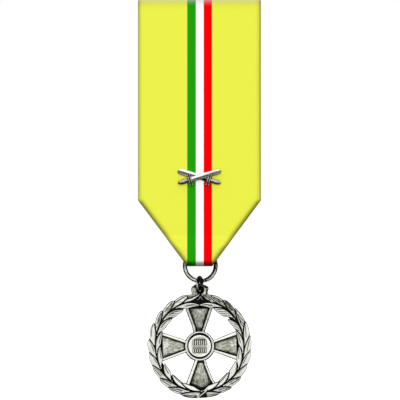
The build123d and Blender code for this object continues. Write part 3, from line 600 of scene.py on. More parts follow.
# painted light and shade over the patina of the front face: a lit arc right of the hole and lit shoulders, shaded top
# and left, in PX from the drawing's corner
gx, gy = lug_pts[..., 0] / PX + 199.65, (7 - lug_pts[..., 2]) / PX
gr, ga = np.hypot(gx - 200.6, gy - 290.4), np.degrees(np.arctan2(gy - 290.4, gx - 200.6))
lug_face_light_and_shade = 0.52 - 0.42 * smooth01((288.8 - gy) / 2.0) - 0.40 * smooth01((5.0 - gr) / 0.9) * (gx < 200.6)
lug_face_light_and_shade = lug_face_light_and_shade + 0.34 * bump_fn(gr, 4.75, 0.55) * smooth01((ga + 52) / 16) * (1 - smooth01((ga - 88) / 12))
lug_face_light_and_shade = lug_face_light_and_shade - 0.34 * bump_fn(gr, 6.55, 0.55) * smooth01((ga + 60) / 12) * (1 - smooth01((ga - 30) / 14))
lug_face_light_and_shade = lug_face_light_and_shade + 0.20 * bump_fn(gx, 191.9, 0.7) * smooth01((gy - 287.2) / 1.0) + 0.14 * bump_fn(gx, 208.0, 0.7) * smooth01((gy - 287.4) / 1.0)
front_face = (lug_y > 0.5)[None, :] * (lug_w > 0.0)
lug_w = np.where(front_face, np.clip(lug_face_light_and_shade, 0.03, 1) * smooth01((gr - 3.2) / 0.7), lug_w)
lug_w = np.clip(lug_w + np.where(lug_w > 0.04, 0.22 * mottle, 0), 0, 1)
lug_pts[..., 1] -= np.where((lug_y > 0.5), 0.03, 0.0) * mottle
# below the two top leaves the plate is sunk and painted black: painted shade in the recess
sunk = smooth01(((-81.62 - lug_pts[..., 2]) - 0.50 * np.abs(lug_pts[..., 0] - 0.2)) / 0.12) * (lug_y > 0.2)
lug_pts[..., 1] += 0.34 * sunk
lug_w = lug_w * (1 - sunk) + 0.02 * sunk
ring_shell(wreath, lug_pts, wear=lug_w)

o_wreath = wreath.make("wreath_relief", m_silver, "medal", sharp=48)
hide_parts("laurel_wreath")

# =====================================================================
# cross pattee
# =====================================================================
cross = Part()
R_IN, R_OUT = 3.7, 12.35


# half width at 7.45 from the middle and its growth, the same for the dark groove inside the border: up, right, down, left
ARMS = ((2.76, .345, 1.62, .350), (3.06, .385, 1.85, .300), (2.87, .390, 1.74, .370), (3.06, .358, 2.01, .352))


def arm_half(r, k):
    return ARMS[k][0] + ARMS[k][1] * (r - 7.45)


def field_half(r, k):
    return np.maximum(0.45, ARMS[k][2] + ARMS[k][3] * (r - 7.45))


rr = np.unique(np.concatenate([np.linspace(R_IN, 4.9, 10), np.linspace(4.9, 11.0, 96), np.linspace(11.0, R_OUT, 26)]))
BORDER = [(0.0, -0.34, .10), (0.02, -0.26, .16), (0.08, -0.15, .28), (0.15, -0.09, .55), (0.24, -0.04, .90), (0.40, 0.0, 1.0), (0.56, 0.01, 1.0),
          (0.68, 0.02, 1.0), (0.75, 0.0, .85), (0.80, -0.06, .35), (0.84, -0.16, .05), (0.90, -0.30, .0)]
rr_plain = rr
rr_low = np.unique(np.concatenate([rr, np.linspace(R_OUT, 13.5, 20)]))
ARM_TONE = (0.515, 0.575, 0.597, 0.585)                      # up, right, down, left
EDGE_TONE = (0.74, 1.0, 0.93, 1.0)
for k in range(4):
    rr = rr_low if k == 2 else rr_plain
    hw, fh = arm_half(rr, k), field_half(rr, k)
    if k == 2:                                           # the lower field runs on between the crossing leaves
        hw = hw - 0.9 * np.clip(rr - 12.4, 0, 9)
        fh = fh - 1.1 * np.clip(rr - 12.4, 0, 9)
    lat, hgt, wr = [], [], []
    for u, h, w in BORDER:
        lat.append(hw + (fh - hw) * u)
        hgt.append(np.full_like(rr, h))
        wr.append(np.full_like(rr, w * EDGE_TONE[k]))
    lat.append(fh - 0.03)
    hgt.append(np.full_like(rr, -0.33))
    wr.append(np.full_like(rr, 0.0))
    lat.append(fh - 0.09)
    hgt.append(np.full_like(rr, -0.34))
    wr.append(np.full_like(rr, 0.01))
    fi = fh - 0.16
    nf = 41
    inner = [fi * (1 - 2 * i / (nf - 1)) for i in range(nf)]
    half_lat = np.stack(lat, 1)
    half_h = np.stack(hgt, 1)
    half_w = np.stack(wr, 1)
    fld = np.stack(inner, 1)
    q = fld / np.maximum(fi[:, None], 1e-3)
    RR = np.broadcast_to(rr[:, None], fld.shape)
    fh_ = -0.20 + 0.03 * (1 - q ** 2)
    hammer = (0.030 * noise2(fld + 7 * k, RR, 0.42, 31 + k) + 0.018 * noise2(fld, RR + 5 * k, 0.21, 41 + k))
    fh_ = fh_ + hammer - 0.10 * smooth01((np.abs(q) - 0.93) / 0.07)
    fw = (ARM_TONE[k] + 3.4 * hammer + 0.15 * noise2(fld * 2.0, RR * 0.6, 0.42, 51 + k) + 0.05 * (1 - q ** 2)
          - 0.26 * smooth01((np.abs(q) - 0.66) / 0.34) + (0.0, 0.07, 0.0, 0.13)[k] * smooth01((RR - 8.0) / 3.0))
    if k == 2:
        # painted shade: the lower field darkens towards its end and is cut dark in a V where the crossing leaves lie
        # over it
        fx, fy = 199.65 + (-fld + 0.0175 * RR) / PX, (7 - MEDAL_Z + RR + 0.0175 * fld) / PX
        leaf_shadow_vee = 389.2 - np.where(fx < 202.0, 0.47 * (202.0 - fx), 0.75 * (fx - 202.0))
        fw = (fw - 0.13 * smooth01((fy - 376.5) / 5.0)) * smooth01((leaf_shadow_vee - fy + 0.6) / 3.0)
    else:
        r_end = 11.28 if k == 0 else 11.10
        end = smooth01((RR - r_end) / 0.18)
        fh_ = fh_ * (1 - end) + (-0.34) * end
        fw = fw * (1 - smooth01((RR - r_end + 0.12) / 0.32)) + 0.0
    root = 1 - smooth01((RR - (5.15, 4.50, 4.75, 4.50)[k]) / (0.90, 0.55, 0.55, 0.55)[k])
    fw = fw * (1 - (0.66, 0.85, 0.85, 0.85)[k] * root)
    L = np.concatenate([half_lat, fld, -half_lat[:, ::-1]], 1)
    H = np.concatenate([half_h, fh_, half_h[:, ::-1]], 1)
    W = np.concatenate([half_w, fw, half_w[:, ::-1]], 1)
    RR = np.broadcast_to(rr[:, None], L.shape)
    # the hand-cut arms are not quite even: the lower field sits to one side, two walls run wider at the disc
    core = 1 - smooth01((np.abs(L) - fh[:, None]) / (hw - fh)[:, None])
    side_ = (L < 0) * np.clip(np.abs(L) / fh[:, None], 0, 1)
    if k == 0:
        L = L - 0.26 * side_ * smooth01((6.0 - RR) / 1.5)
    if k == 2:
        L = L - 0.17 * core - side_ * (0.22 * smooth01((5.6 - RR) / 0.9) + 0.22 * smooth01((RR - 9.9) / 1.0))
    nb = len(BORDER)
    tick = 0.10 * noise2(RR * 1.0 + 3 * k, L * 0.35, 0.26, 61 + k)
    mask = np.zeros(L.shape, bool)
    mask[:, :nb] = True
    mask[:, -nb:] = True
    W = np.where(mask, np.clip(W + tick * (W > 0.5), 0, 1), W)
    H = np.where(mask, H + 0.010 * noise2(RR, L, 0.20, 71 + k), H)
    # painted shade: the arms darken where they run in under the wreath
    W = np.where(mask | (k != 2), W * (1 - 0.92 * smooth01((RR - 11.55 - (0.5 if k == 2 else 0.0)) / 0.45)), W)
    phi = math.radians(90 * k - 1.0)
    X = L * math.cos(phi) + RR * math.sin(phi)
    Z = MEDAL_Z - L * math.sin(phi) + RR * math.cos(phi)
    Y = MID_Y + CROSS_FRONT - H
    top = np.stack([X, Y, Z], -1)
    inset = np.sign(L) * np.maximum(np.abs(L) - 0.0, 0)
    yb = np.full_like(X, MID_Y + CROSS_BACK)
    yb[:, 0] -= 0.12
    yb[:, -1] -= 0.12
    bot = np.stack([X, yb, Z], -1)
    slab(cross, top, bot, {"wear": np.clip(W, 0, 1)}, {"wear": 0.62 + 0.10 * noise2(L, RR, 0.5, 80 + k)})

# hub under the disc, its front painted dark as the shade line round the disc
hub = [(0.75, -0.40), (4.35, -0.42), (4.55, -0.42), (4.62, -0.34), (4.62, 0.60), (4.50, 0.74), (0.75, 0.76), (0.62, 0.60), (0.62, -0.30)]
hp = np.array(hub)
th = np.linspace(0, 2 * np.pi, 181)[:-1]
R_, TH = np.meshgrid(hp[:, 0], th)
Y_ = MID_Y + np.broadcast_to(hp[:, 1], R_.shape)
ring_shell(cross, np.stack([R_ * np.sin(TH), Y_, MEDAL_Z - R_ * np.cos(TH)], -1),
           wear=np.where(np.broadcast_to(hp[:, 1], R_.shape) > 0.5, 0.6, 0.18))
o_cross = cross.make("cross_relief", m_silver, "medal", sharp=50)
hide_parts("cross_pattee")

# =====================================================================
# centre disc
# =====================================================================
disc = Part()
D0 = CROSS_FRONT                                         # from the ring plane
D_TOP = D0 - 0.75
FACE = D_TOP + 0.14
GRO = D_TOP + 0.42
rad_list = [(4.40, D0 + 0.04, .0), (4.41, D0 - 0.25, .0), (4.41, D0 - 0.52, .05), (4.385, D0 - 0.62, .25), (4.34, D0 - 0.70, .75), (4.28, D_TOP + 0.012, 1.),
            (4.18, D_TOP, 1.), (4.10, D_TOP + 0.005, 1.), (4.06, D_TOP + 0.04, .62), (4.03, D_TOP + 0.045, .60), (4.00, D_TOP + 0.008, .96),
            (3.92, D_TOP - 0.005, 1.), (3.83, D_TOP + 0.01, 1.), (3.785, D_TOP + 0.05, .7), (3.765, D_TOP + 0.14, .06), (3.755, D_TOP + 0.30, 0),
            (3.74, GRO, 0), (3.60, GRO + 0.01, 0), (3.48, GRO, 0), (3.455, D_TOP + 0.30, .0), (3.44, D_TOP + 0.20, .15), (3.41, FACE + 0.01, .80),
            (3.33, FACE - 0.012, 1.0), (3.25, FACE - 0.005, .95)]
face_r = np.linspace(3.20, 0.02, 62)
na = 360
th = np.linspace(0, 2 * np.pi, na + 1)[:-1]
R_ = np.concatenate([np.array([p[0] for p in rad_list]), face_r])
Yp = np.concatenate([np.array([p[1] for p in rad_list]), FACE - 0.05 * (1 - (face_r / 3.3) ** 2)])
Wp = np.concatenate([np.array([p[2] for p in rad_list]), np.full(len(face_r), 0.93)])
RR, TT = np.meshgrid(R_, th)
# the groove is wider above and below than at the sides
RR = RR + np.cos(TT) ** 2 * np.interp(RR, [3.2, 3.35, 3.43, 3.60, 3.75, 3.805, 3.92, 4.06], [0, -.13, -.13, 0.0, .12, .12, .06, 0])
YY = np.broadcast_to(Yp, RR.shape).copy()
WW = np.broadcast_to(Wp, RR.shape).copy()
RR = RR + np.clip(np.cos(TT), 0, 1) ** 1.5 * np.interp(RR, [3.0, 3.2, 3.33, 3.43, 3.60, 3.75, 3.805, 3.94, 4.06], [0, .02, .04, .05, .11, .19, .20, .11, .02])
XX, ZZ = RR * np.sin(TT), RR * np.cos(TT)


def box_dist(x, z, cx, cz, hx, hz, r=0.05):
    dx, dz = np.abs(x - cx) - hx + r, np.abs(z - cz) - hz + r
    return np.hypot(np.maximum(dx, 0), np.maximum(dz, 0)) + np.minimum(np.maximum(dx, dz), 0) - r


dist = np.full(RR.shape, 9.0)
for zc, hh in ((1.04, 0.72), (-1.38, 0.60)):
    for i in range(7):
        dist = np.minimum(dist, box_dist(XX, ZZ, (i - 3) * 0.61, zc, 0.17, hh))
line = np.minimum(box_dist(XX, ZZ, 0, -0.30, 2.0, 0.075), box_dist(XX, ZZ, 0, 2.02, 1.6, 0.06))
on_face = RR < 3.22
YY -= np.where(on_face, 0.13 * (1 - smooth01((dist + 0.05) / 0.10)), 0)
YY -= np.where(on_face, 0.08 * (1 - smooth01((line + 0.04) / 0.08)), 0)
cav = bump_fn(dist, 0.07, 0.08) * 0.64 + bump_fn(line, 0.06, 0.07) * 0.60
WW = np.where(on_face, WW - cav + 0.05 * noise2(XX, ZZ, 0.5, 90), WW)
# darker towards the middle of the face, and painted shade on its upper part under the rim
WW = np.where(on_face, WW - 0.12 * (1 - smooth01((RR - 2.3) / 0.8)) - 0.14 * smooth01((ZZ - 1.5) / 0.9) * (1 - 0.8 * smooth01((RR - 2.75) / 0.3)), WW)
WW += 0.05 * noise2(TT * 4.0 * (RR > 3.4), RR, 0.3, 91) * (RR > 3.4)
n, m = RR.shape
DISC_K, DISC_Z = 0.993, MEDAL_Z + 0.11
V = np.stack([XX * DISC_K, MID_Y + YY, DISC_Z + ZZ * DISC_K], -1).reshape(-1, 3)
F = quads(n, m, wrap_n=True).tolist()
# close the middle of the face and the back
mid_i = len(V)
V = np.vstack([V, [0, MID_Y + Yp[-1], DISC_Z], [0, MID_Y + D0 + 0.04, DISC_Z]])
for i in range(n):
    j = (i + 1) % n
    F.append([i * m + m - 1, j * m + m - 1, mid_i])
    F.append([j * m, i * m, mid_i + 1])
disc.add(V, F, wear=np.concatenate([np.clip(WW, 0, 1).ravel(), [0.93, 0.1]]))
o_disc = disc.make("disc_relief", m_silver, "medal", sharp=50)
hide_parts("centre_disc")


# =====================================================================
# rings
# =====================================================================
def wire_ring(part, R, r, place, gap_deg, gap_mm, wear_and_light_fn, n=260, m=30, wobble=0.012, seed=5, wide=1.0, fat=0.0, thin=0.0):
    """open ring of round wire, its two ends meeting at a joint"""
    g = gap_mm / 2 / R
    # arc from one side of the joint round to the other, then rounded end faces
    a = np.linspace(g, 2 * np.pi - g, n)
    tube = np.full(n, 1.0)
    end = np.array([0.0, 0.55, 0.82, 0.95])
    a = np.concatenate([[g + 0.0] * 4, a[1:-1] + 0.0, [2 * np.pi - g] * 4])
    sc = np.concatenate([end, tube[1:-1], end[::-1]])
    push = np.concatenate([-np.array([0.0, 0.002, 0.006, 0.014]) * 0, np.zeros(n - 2), np.zeros(4)])
    a = a + push
    a[1:4] += np.array([0.0, 0.012, 0.03]) / R * r
    a[-4:-1] -= np.array([0.03, 0.012, 0.0]) / R * r
    b = np.linspace(0, 2 * np.pi, m + 1)[:-1]
    A, B = np.meshgrid(a, b, indexing="ij")
    w = 1 + wobble * noise2(A * R, B * r, 0.8, seed)
    rr_ = r * sc[:, None] * w
    low_side = bump_fn((np.degrees(A) + gap_deg + 180) % 360 - 180, 0.0, 24.0)
    high_side = bump_fn((np.degrees(A) + gap_deg) % 360 - 180, 0.0, 75.0)
    # thicker where it hangs in the lug, its inside worn at the top
    rad = R + rr_ * np.cos(B) * (1 + fat * low_side) * (1 - thin * high_side * (np.cos(B) < 0))
    dep = rr_ * np.sin(B) * wide                         # along the ring's axis
    ang = A + math.radians(gap_deg)                      # from the bottom
    P = place(rad, ang, dep)
    n2 = len(a)
    V = P.reshape(-1, 3)
    F = quads(n2, m, wrap_m=True).tolist()
    # the end faces close on their first and last rows, which are single points
    keep = np.arange(len(V))
    keep[:m] = 0
    keep[(n2 - 1) * m:] = (n2 - 1) * m
    F2 = []
    for q in F:
        q = [int(keep[i]) for i in q]
        u = []
        for i in q:
            if i not in u:
                u.append(i)
        if len(u) >= 3:
            F2.append(u)
    used = sorted({i for q in F2 for i in q})
    remap = {v: i for i, v in enumerate(used)}
    F2 = [[remap[i] for i in q] for q in F2]
    wear = wear_and_light_fn(ang, B, P)
    part.add(V[used], F2, wear=np.clip(wear, 0, 1).ravel()[used])


def place_ring(rad, ang, dep):
    return np.stack([RING_X + rad * np.sin(ang), MID_Y + dep, RING_Z - rad * np.cos(ang)], -1)


def ring_wear_and_painted_light(ang, B, P):
    front = np.clip(-np.sin(B), -1, 1)
    out = np.cos(B)
    on_right = smooth01((np.sin(ang) - 0.15) / 0.4)
    # painted highlight: the bright run along the front of the wire, in the middle on one side, towards the outer edge
    # on the other
    painted_highlight_run = smooth01((0.60 - np.abs(out - 0.02 - 0.26 * on_right)) / 0.26) * (front > 0)
    w = 0.03 + 0.78 * painted_highlight_run + 0.55 * smooth01((-front - 0.4) / 0.4)
    streak = np.clip(1.7 * noise2(ang * 2.2 + out * 0.9, out * 1.1 + ang * 1.4, 0.30, 21), -1, 1)
    w = w + (0.24 + 0.24 * on_right) * streak * (0.3 + 0.7 * painted_highlight_run) + 0.12 * noise2(ang * 9.0, B * 1.3, 0.3, 22)
    deg = (np.degrees(ang) + 180) % 360 - 180
    scrape = (0.5 + 0.5 * np.sin(2 * np.pi * (ang * RING_R / 0.66 - out * 0.55 + 0.5 * noise2(ang * 3.0, out, 0.5, 24)))) ** 1.3
    w = w - scrape * front * (0.62 * on_right * smooth01((0.42 - out) / 0.5) * smooth01((deg - 14) / 14)
                              + 0.42 * (1 - on_right) * smooth01((deg + 72) / 12) * smooth01((-22 - deg) / 10) * smooth01((0.25 - out) / 0.4))
    w = w - 0.34 * smooth01((deg - 66) / 20) * on_right
    joint = smooth01((deg + 8.5) / 2.5) * (1 - smooth01((deg - 20.5) / 4.0))
    # painted shade on the inner side of the wire's right half
    under = 0.22 * smooth01((np.sin(ang) - 0.2) / 0.6) * smooth01((np.cos(B) * -1 + 0.5) / 0.8)
    top = 0.35 * smooth01((np.abs(deg) - 100) / 25)       # darker where it lies in the cloth
    return w * (1 - 0.90 * joint) - under - top


ring = Part()
wire_ring(ring, RING_R, RING_WIRE, place_ring, RING_GAP, 0.04, ring_wear_and_painted_light, n=300, m=32, fat=-0.12)
o_ring = ring.make("suspension_ring_wire", m_ring, "ring", sharp=60)
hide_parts("suspension_ring")

ct, st = math.cos(math.radians(LINK_TURN)), math.sin(math.radians(LINK_TURN))


def place_link(rad, ang, dep):
    y, x = -rad * np.sin(ang), dep                        # ang from the bottom, front side first
    z = LINK_Z - rad * np.cos(ang)
    # turned by LINK_TURN about the vertical
    return np.stack([x * ct - y * st, MID_Y + x * st + y * ct, z], -1)


def link_wear_and_painted_highlight(ang, B, P):
    x, y, z = P[..., 0], P[..., 1], P[..., 2]
    left = -np.sin(B)                                     # the wire's -X side
    # painted highlight: a bright strip down the -X side of the front limb; elsewhere the link stays dark
    limb = smooth01((MID_Y - y - 0.3) / 0.4) * smooth01((-77.55 - z) / 0.35) * smooth01((z + 80.55) / 0.7)
    up, dn = smooth01((z + 78.75) / 1.1), smooth01((-79.5 - z) / 0.9)
    painted_highlight_strip = smooth01((left + 0.50 - 0.75 * up) / 0.30) * (1 - smooth01((left - 0.64 + 0.80 * dn) / 0.22))
    w = 0.06 + 1.25 * limb * painted_highlight_strip * (np.cos(B) > -0.2)
    return w + 0.10 * noise2(ang * 3, B, 0.4, 23)


link = Part()
wire_ring(link, LINK_R, LINK_WIRE, place_link, 258.0, 0.10, link_wear_and_painted_highlight, n=160, m=26, wobble=0.03, seed=8, wide=LINK_WIDE / LINK_WIRE, fat=0.13, thin=0.16)
o_link = link.make("link_ring_wire", m_link, "link", sharp=60)
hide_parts("link_ring")


# =====================================================================
# crossed swords
# =====================================================================
def sword(part, mirrored, edge_t, crest_t, seed):
    tilt = math.radians(SWORD_TILT)
    sx = -1.0 if mirrored else 1.0

    def put(u, y, v):
        """u along the sword to its tip, v across it (+ is up), to the row frame"""
        x = u * math.cos(tilt) - v * math.sin(tilt)
        z = u * math.sin(tilt) + v * math.cos(tilt)
        return np.stack([SWORD_X + sx * x, y, SWORD_Z + z], -1)

    g0, blen = -2.95, 9.78
    tip = g0 + blen
    # blade
    u = np.concatenate([np.linspace(g0 - 0.1, tip - 1.2, 72), tip - 1.2 + 1.2 * np.sin(np.linspace(0, np.pi / 2, 18))[1:]])
    k = np.clip((u - (tip - 1.2)) / 1.2, 0, 1)
    full = 0.84 * (0.86 + 0.14 * smooth01((u - g0) / 4.5)) if not mirrored else 0.84 * (0.86 + 0.30 * smooth01((u - g0 - 2.0) / 4.5))
    b = full * np.sqrt(np.clip(1 - k ** 2.3, 0.0004, 1))
    t = np.array([-1, -.985, -.94, -.86, -.76, -.66, -.56, -.46, -.36, -.26, -.16, -.08, -.03, 0, .05, .16, .30, .46, .62, .76, .88, .95, .985, 1.0])
    U, step = np.meshgrid(u, t, indexing="ij")
    ridge_at = 0.20 + 0 * U if mirrored else 0.04 + 0.20 * smooth01((U + 2.0) / 7.0)
    T = np.where(step < 0, -1 + (step + 1) * (1 + ridge_at), ridge_at + step * (1 - ridge_at))
    Vv = T * b[:, None]
    at_ = np.abs(T)
    away = np.where(T > ridge_at, (T - ridge_at) / (1 - ridge_at), (ridge_at - T) / (1 + ridge_at))
    h = edge_t + (crest_t - edge_t) * (1 - away) - 0.20 * smooth01((at_ - 0.84) / 0.16) ** 2
    h = h * (1 - 0.35 * smooth01((k[:, None] - 0.5) / 0.5)) + 0.0
    # fuller below the ridge, and a hammered surface
    lower = (T < 0) * smooth01((U - g0 - 0.3) / 0.8) * (1 - smooth01((U - tip + 1.5) / 0.8))
    h = h - (0.085 if mirrored else 0.05) * bump_fn(T, -0.40, 0.14) * lower
    h = h + 0.020 * noise2(U, Vv * 1.6, 0.34, seed) + 0.012 * noise2(U, Vv, 0.17, seed + 1)
    y = FRONT_Y - h
    # painted light and shade: the blade's upper face bright, its lower face and lower edge darker
    under = step < -0.02
    wear = 0.99 - (0.58 if mirrored else 0.60) * under + (0.06 + 0.14 * under) * noise2(U * 0.8, Vv * 3, 0.30, seed + 2)
    wear = wear - (0.34 if mirrored else 0.15) * bump_fn(T - ridge_at, -0.15 if mirrored else -0.50, 0.11) * smooth01((U - g0 - 0.3) / 0.8)
    wear = wear - 0.45 * smooth01((-T - 0.90) / 0.10) - 0.30 * smooth01((T - 0.97) / 0.03) + (0.16 if mirrored else 0.06) * bump_fn(T, -0.72, 0.10)
    if mirrored:                                         # dull where it runs down to its guard
        wear = wear - 0.52 * (1 - smooth01((U - g0 - 2.3) / 0.9))
    top = put(U, y, Vv)
    bot = put(U, np.full_like(U, FRONT_Y + 0.02), Vv)
    slab(part, top, bot, {"wear": np.clip(wear, 0, 1)}, {"wear": 0.3})
    # guard: waisted bar with fishtail ends, a groove along it
    v = np.linspace(-1, 1, 61)
    hl, hw = 1.86, 0.60
    s = np.abs(v)
    wid = hw * (1.00 - 0.14 * bump_fn(s, 0.50, 0.20) + 0.12 * smooth01((s - 0.60) / 0.28) - 0.10 * smooth01((s - 0.92) / 0.08))
    t = np.array([-1, -.97, -.90, -.78, -.62, -.45, -.30, -.16, -.06, 0, .06, .16, .30, .45, .62, .78, .90, .97, 1.0])
    Vg, T = np.meshgrid(v, t, indexing="ij")
    notch = 0.24 * (1 - np.abs(T)) ** 1.2 * smooth01((np.abs(Vg) - 0.8) / 0.2)
    Vz = np.sign(Vg) * (np.abs(Vg) * hl - notch)
    Ug = g0 + T * wid[:, None]
    y1 = crest_t + (0.44 if mirrored else 0.20)
    S = np.abs(Vg)
    ridge = 0.14 * bump_fn(np.abs(T), 0.52, 0.20)
    groove = -0.20 * bump_fn(T, 0.0, 0.22) * (1 - 0.6 * smooth01((0.12 - S) / 0.1))
    h = y1 - 0.10 - 0.38 * smooth01((np.abs(T) - 0.72) / 0.28) ** 1.5 + ridge + groove
    h = h - 0.30 * smooth01((S - 0.93) / 0.07) - 0.10 * bump_fn(S, 0.55, 0.10) + 0.05 * bump_fn(S, 0.0, 0.16)
    h = h + 0.015 * noise2(Ug, Vz, 0.22, seed + 3)
    wear = 0.50 + 0.42 * bump_fn(np.abs(T), 0.50, 0.15) - 0.48 * bump_fn(T, 0.0, 0.20) - 0.50 * smooth01((np.abs(T) - 0.74) / 0.16)
    # painted shade on the guard's lower half
    wear = wear - 0.26 * bump_fn(S, 0.60, 0.10) - 0.20 * smooth01(-Vg / 0.4) + 0.14 * noise2(Ug * 2, Vz * 2, 0.4, seed + 4)
    top = put(Ug, FRONT_Y - h, Vz)
    bot = put(Ug, np.full_like(Ug, FRONT_Y + 0.02), Vz)
    slab(part, top, bot, {"wear": np.clip(wear, 0, 1)}, {"wear": 0.2})
    # grip: swelling oval, rounded, with a neck at the guard
    gl = 3.72
    gu = g0 - 0.30 - gl / 2 + 0.25
    q = -np.cos(np.linspace(0, np.pi, 56))
    prof_ = 0.74 * np.sqrt(np.clip(1 - np.abs(q) ** 2.4, 0.0006, 1)) * (1 - 0.10 * smooth01((q - 0.2) / 0.8))
    t = np.sin(np.linspace(-np.pi / 2, np.pi / 2, 25))
    Q, T = np.meshgrid(q, t, indexing="ij")
    Ug = gu + Q * gl / 2
    Vg = T * prof_[:, None]
    dome = np.sqrt(np.clip(1 - T ** 2, 0, 1)) * np.sqrt(np.clip(1 - np.abs(Q) ** 3, 0, 1))
    h = 0.30 + (crest_t - 0.22) * dome ** 0.8
    groove = bump_fn(T, 0.30, 0.10) + bump_fn(T, -0.38, 0.12)
    h = h - 0.06 * groove * (np.abs(Q) < 0.85) + 0.018 * noise2(Ug, Vg, 0.25, seed + 5)
    # painted light on the grip's upper half and painted shade on its lower half, over the grooves and streaks
    wear = 0.04 + 0.44 * dome - 0.42 * groove * smooth01((0.9 - np.abs(Q)) / 0.2) + 0.40 * smooth01((T + 0.05) / 0.5) * dome
    wear = wear - 0.26 * smooth01((-T - 0.05) / 0.5) + 0.34 * noise2(Ug * 0.9, Vg * 4, 0.35, seed + 6)
    wear = wear * smooth01((dome + 0.02) / 0.35)
    top = put(Ug, FRONT_Y - h, Vg)
    bot = put(Ug, np.full_like(Ug, FRONT_Y + 0.02), Vg)
    slab(part, top, bot, {"wear": np.clip(wear, 0, 1)}, {"wear": 0.2})


for nm, mirrored, e_t, c_t, sd in (("front_sword", False, 0.75, 1.10, 101), ("rear_sword", True, 0.45, 0.74, 131)):
    p = Part()
    sword(p, mirrored, e_t, c_t, sd)
    o = p.make(nm + "_relief", m_bright, "ribbon_and_brooch", sharp=42)
    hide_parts(nm)


# =====================================================================
# ribbon: one strip of cloth, folded over the top and round the ring
# =====================================================================
W2, SH_Z, X_OFF = 18.54, -53.40, -0.045              # half the laid width, its shoulder, and how far it sits off centre


def half_width(z):
    k = np.clip((SH_Z - z) / (SH_Z - BOTTOM_Z), 0, 1)
    return W2 - (W2 - NECK_HALF) * k


def swell(h):
    k = smooth01((h - 4.9) / 10.1)
    return np.where(h < 4.9, LOOP_HALF, LOOP_HALF + (HALF_T - LOOP_HALF) * k)


def hollow(h):
    k = smooth01((h - 5.4) / 8.8)
    return np.where(h < 5.4, LOOP_HALF - 0.48, (LOOP_HALF - 0.48) + (HALF_T - PLY - LOOP_HALF + 0.48) * k)


NU = 34
uu = np.concatenate([-(1 - (np.arange(NU) / NU) ** 2.0), [0.0], (1 - (np.arange(NU)[::-1] / NU) ** 2.0)])
slope_cos = math.cos(math.atan((RIBBON_W / 2 - NECK_HALF) / (SHOULDER_Z - BOTTOM_Z)))
ROLL_W = 1.95


def edge_distance(x, z):
    straight = W2 - np.abs(x)
    diagonal = (NECK_HALF + (W2 - NECK_HALF) / (SH_Z - BOTTOM_Z) * (z - BOTTOM_Z) - np.abs(x)) * slope_cos
    return np.maximum(0.0, np.minimum(straight, diagonal))


def quarter(d, w=ROLL_W):
    q = 1 - np.clip(d / w, 0, 1)
    return 1 - np.sqrt(np.clip(1 - q * q, 0, 1))


rows_out, rows_in, rows_v, rows_pil, rows_top, rows_low = [], [], [], [], [], []
last = [None]
vlen = [0.0]


def station(z_out, y_out, z_in, y_in, x, pil, top, low):
    rows_out.append(np.stack([x, y_out, np.broadcast_to(z_out, x.shape)], -1))
    rows_in.append(np.stack([x, y_in, np.broadcast_to(z_in, x.shape)], -1))
    c = np.array([rows_out[-1][NU][1], rows_out[-1][NU][2]])
    if last[0] is not None:
        vlen[0] += float(np.hypot(*(c - last[0])))
    last[0] = c
    rows_v.append(np.full(x.shape, vlen[0]))
    rows_pil.append(pil)
    rows_top.append(np.full(x.shape, float(top)))
    rows_low.append(np.full(x.shape, float(low)))


def panel(z, sgn):
    """sgn -1 for the front panel, 1 for the back one"""
    h = z - BOTTOM_Z
    x = uu * half_width(z)
    d = edge_distance(x, z)
    base = float(swell(np.array(h)))
    depth = 0.16 + (base - 0.03 - 0.16) * float(smooth01(np.array((h - 5.6) / 4.0)))
    ho = base - depth * quarter(d)
    hi = np.minimum(float(hollow(np.array(h))) + 0.34 * smooth01((0.98 - d) / 0.6) * smooth01(np.array((6.5 - h) / 1.0)), ho - 0.10)
    lip = float(smooth01(np.array((h - 5.6) / 4.0)))
    hi = np.where(hi < 0.02, np.maximum(0.006, ho - 0.02), hi)
    hi = np.minimum(hi, ho - 0.018)
    pil = (ROLL_W - depth) * (1 - quarter(d)) + 0 * lip
    station(z, MID_Y + sgn * ho, z, MID_Y + sgn * hi, x, pil, 0, 0)


# rear panel from under the flap down to the loop
zs_lo = BOTTOM_Z + np.concatenate([np.linspace(1.8, 15, 40)])
zs_mid = np.linspace(BOTTOM_Z + 15.6, SHOULDER_Z + 2.5, 14)
zs_hi = np.linspace(SHOULDER_Z + 3.5, 4.9, 46)
z_all = np.concatenate([zs_lo, zs_mid, zs_hi])
for z in z_all[::-1]:
    panel(z, 1)
# round the bottom
for phi in np.linspace(0, np.pi, 25)[1:-1]:
    k = math.sin(phi) ** (1 / 1.3)
    h = 1.8 * (1 - k)
    z = BOTTOM_Z + h
    c = math.cos(phi)
    x = uu * float(half_width(np.array(z)))
    d = edge_distance(x, z)
    ho = LOOP_HALF * abs(c) - min(0.16, 0.14 * LOOP_HALF * abs(c)) * quarter(d)
    ply = 0.48 - 0.34 * smooth01((0.98 - d) / 0.6)
    hin = (LOOP_HALF - ply) * abs(c)
    # the ring's wire has pushed the fold's left corner out square
    sq = 0.50 * smooth01((0.9 - d) / 0.7) * (x < 0) * min(1.0, 4 * abs(c) * (1 - abs(c)))
    ho, hin = ho + sq, hin + sq
    z_in = BOTTOM_Z + ply + (1.8 - ply) * (1 - k)
    sgn = 1 if c > 0 else -1
    pil = (ROLL_W - 0.16) * (1 - quarter(d))
    station(z, MID_Y + sgn * ho, z_in, MID_Y + sgn * np.minimum(hin, ho) * np.ones_like(x), x, pil, 0, k)
# front panel
for z in z_all:
    panel(z, -1)
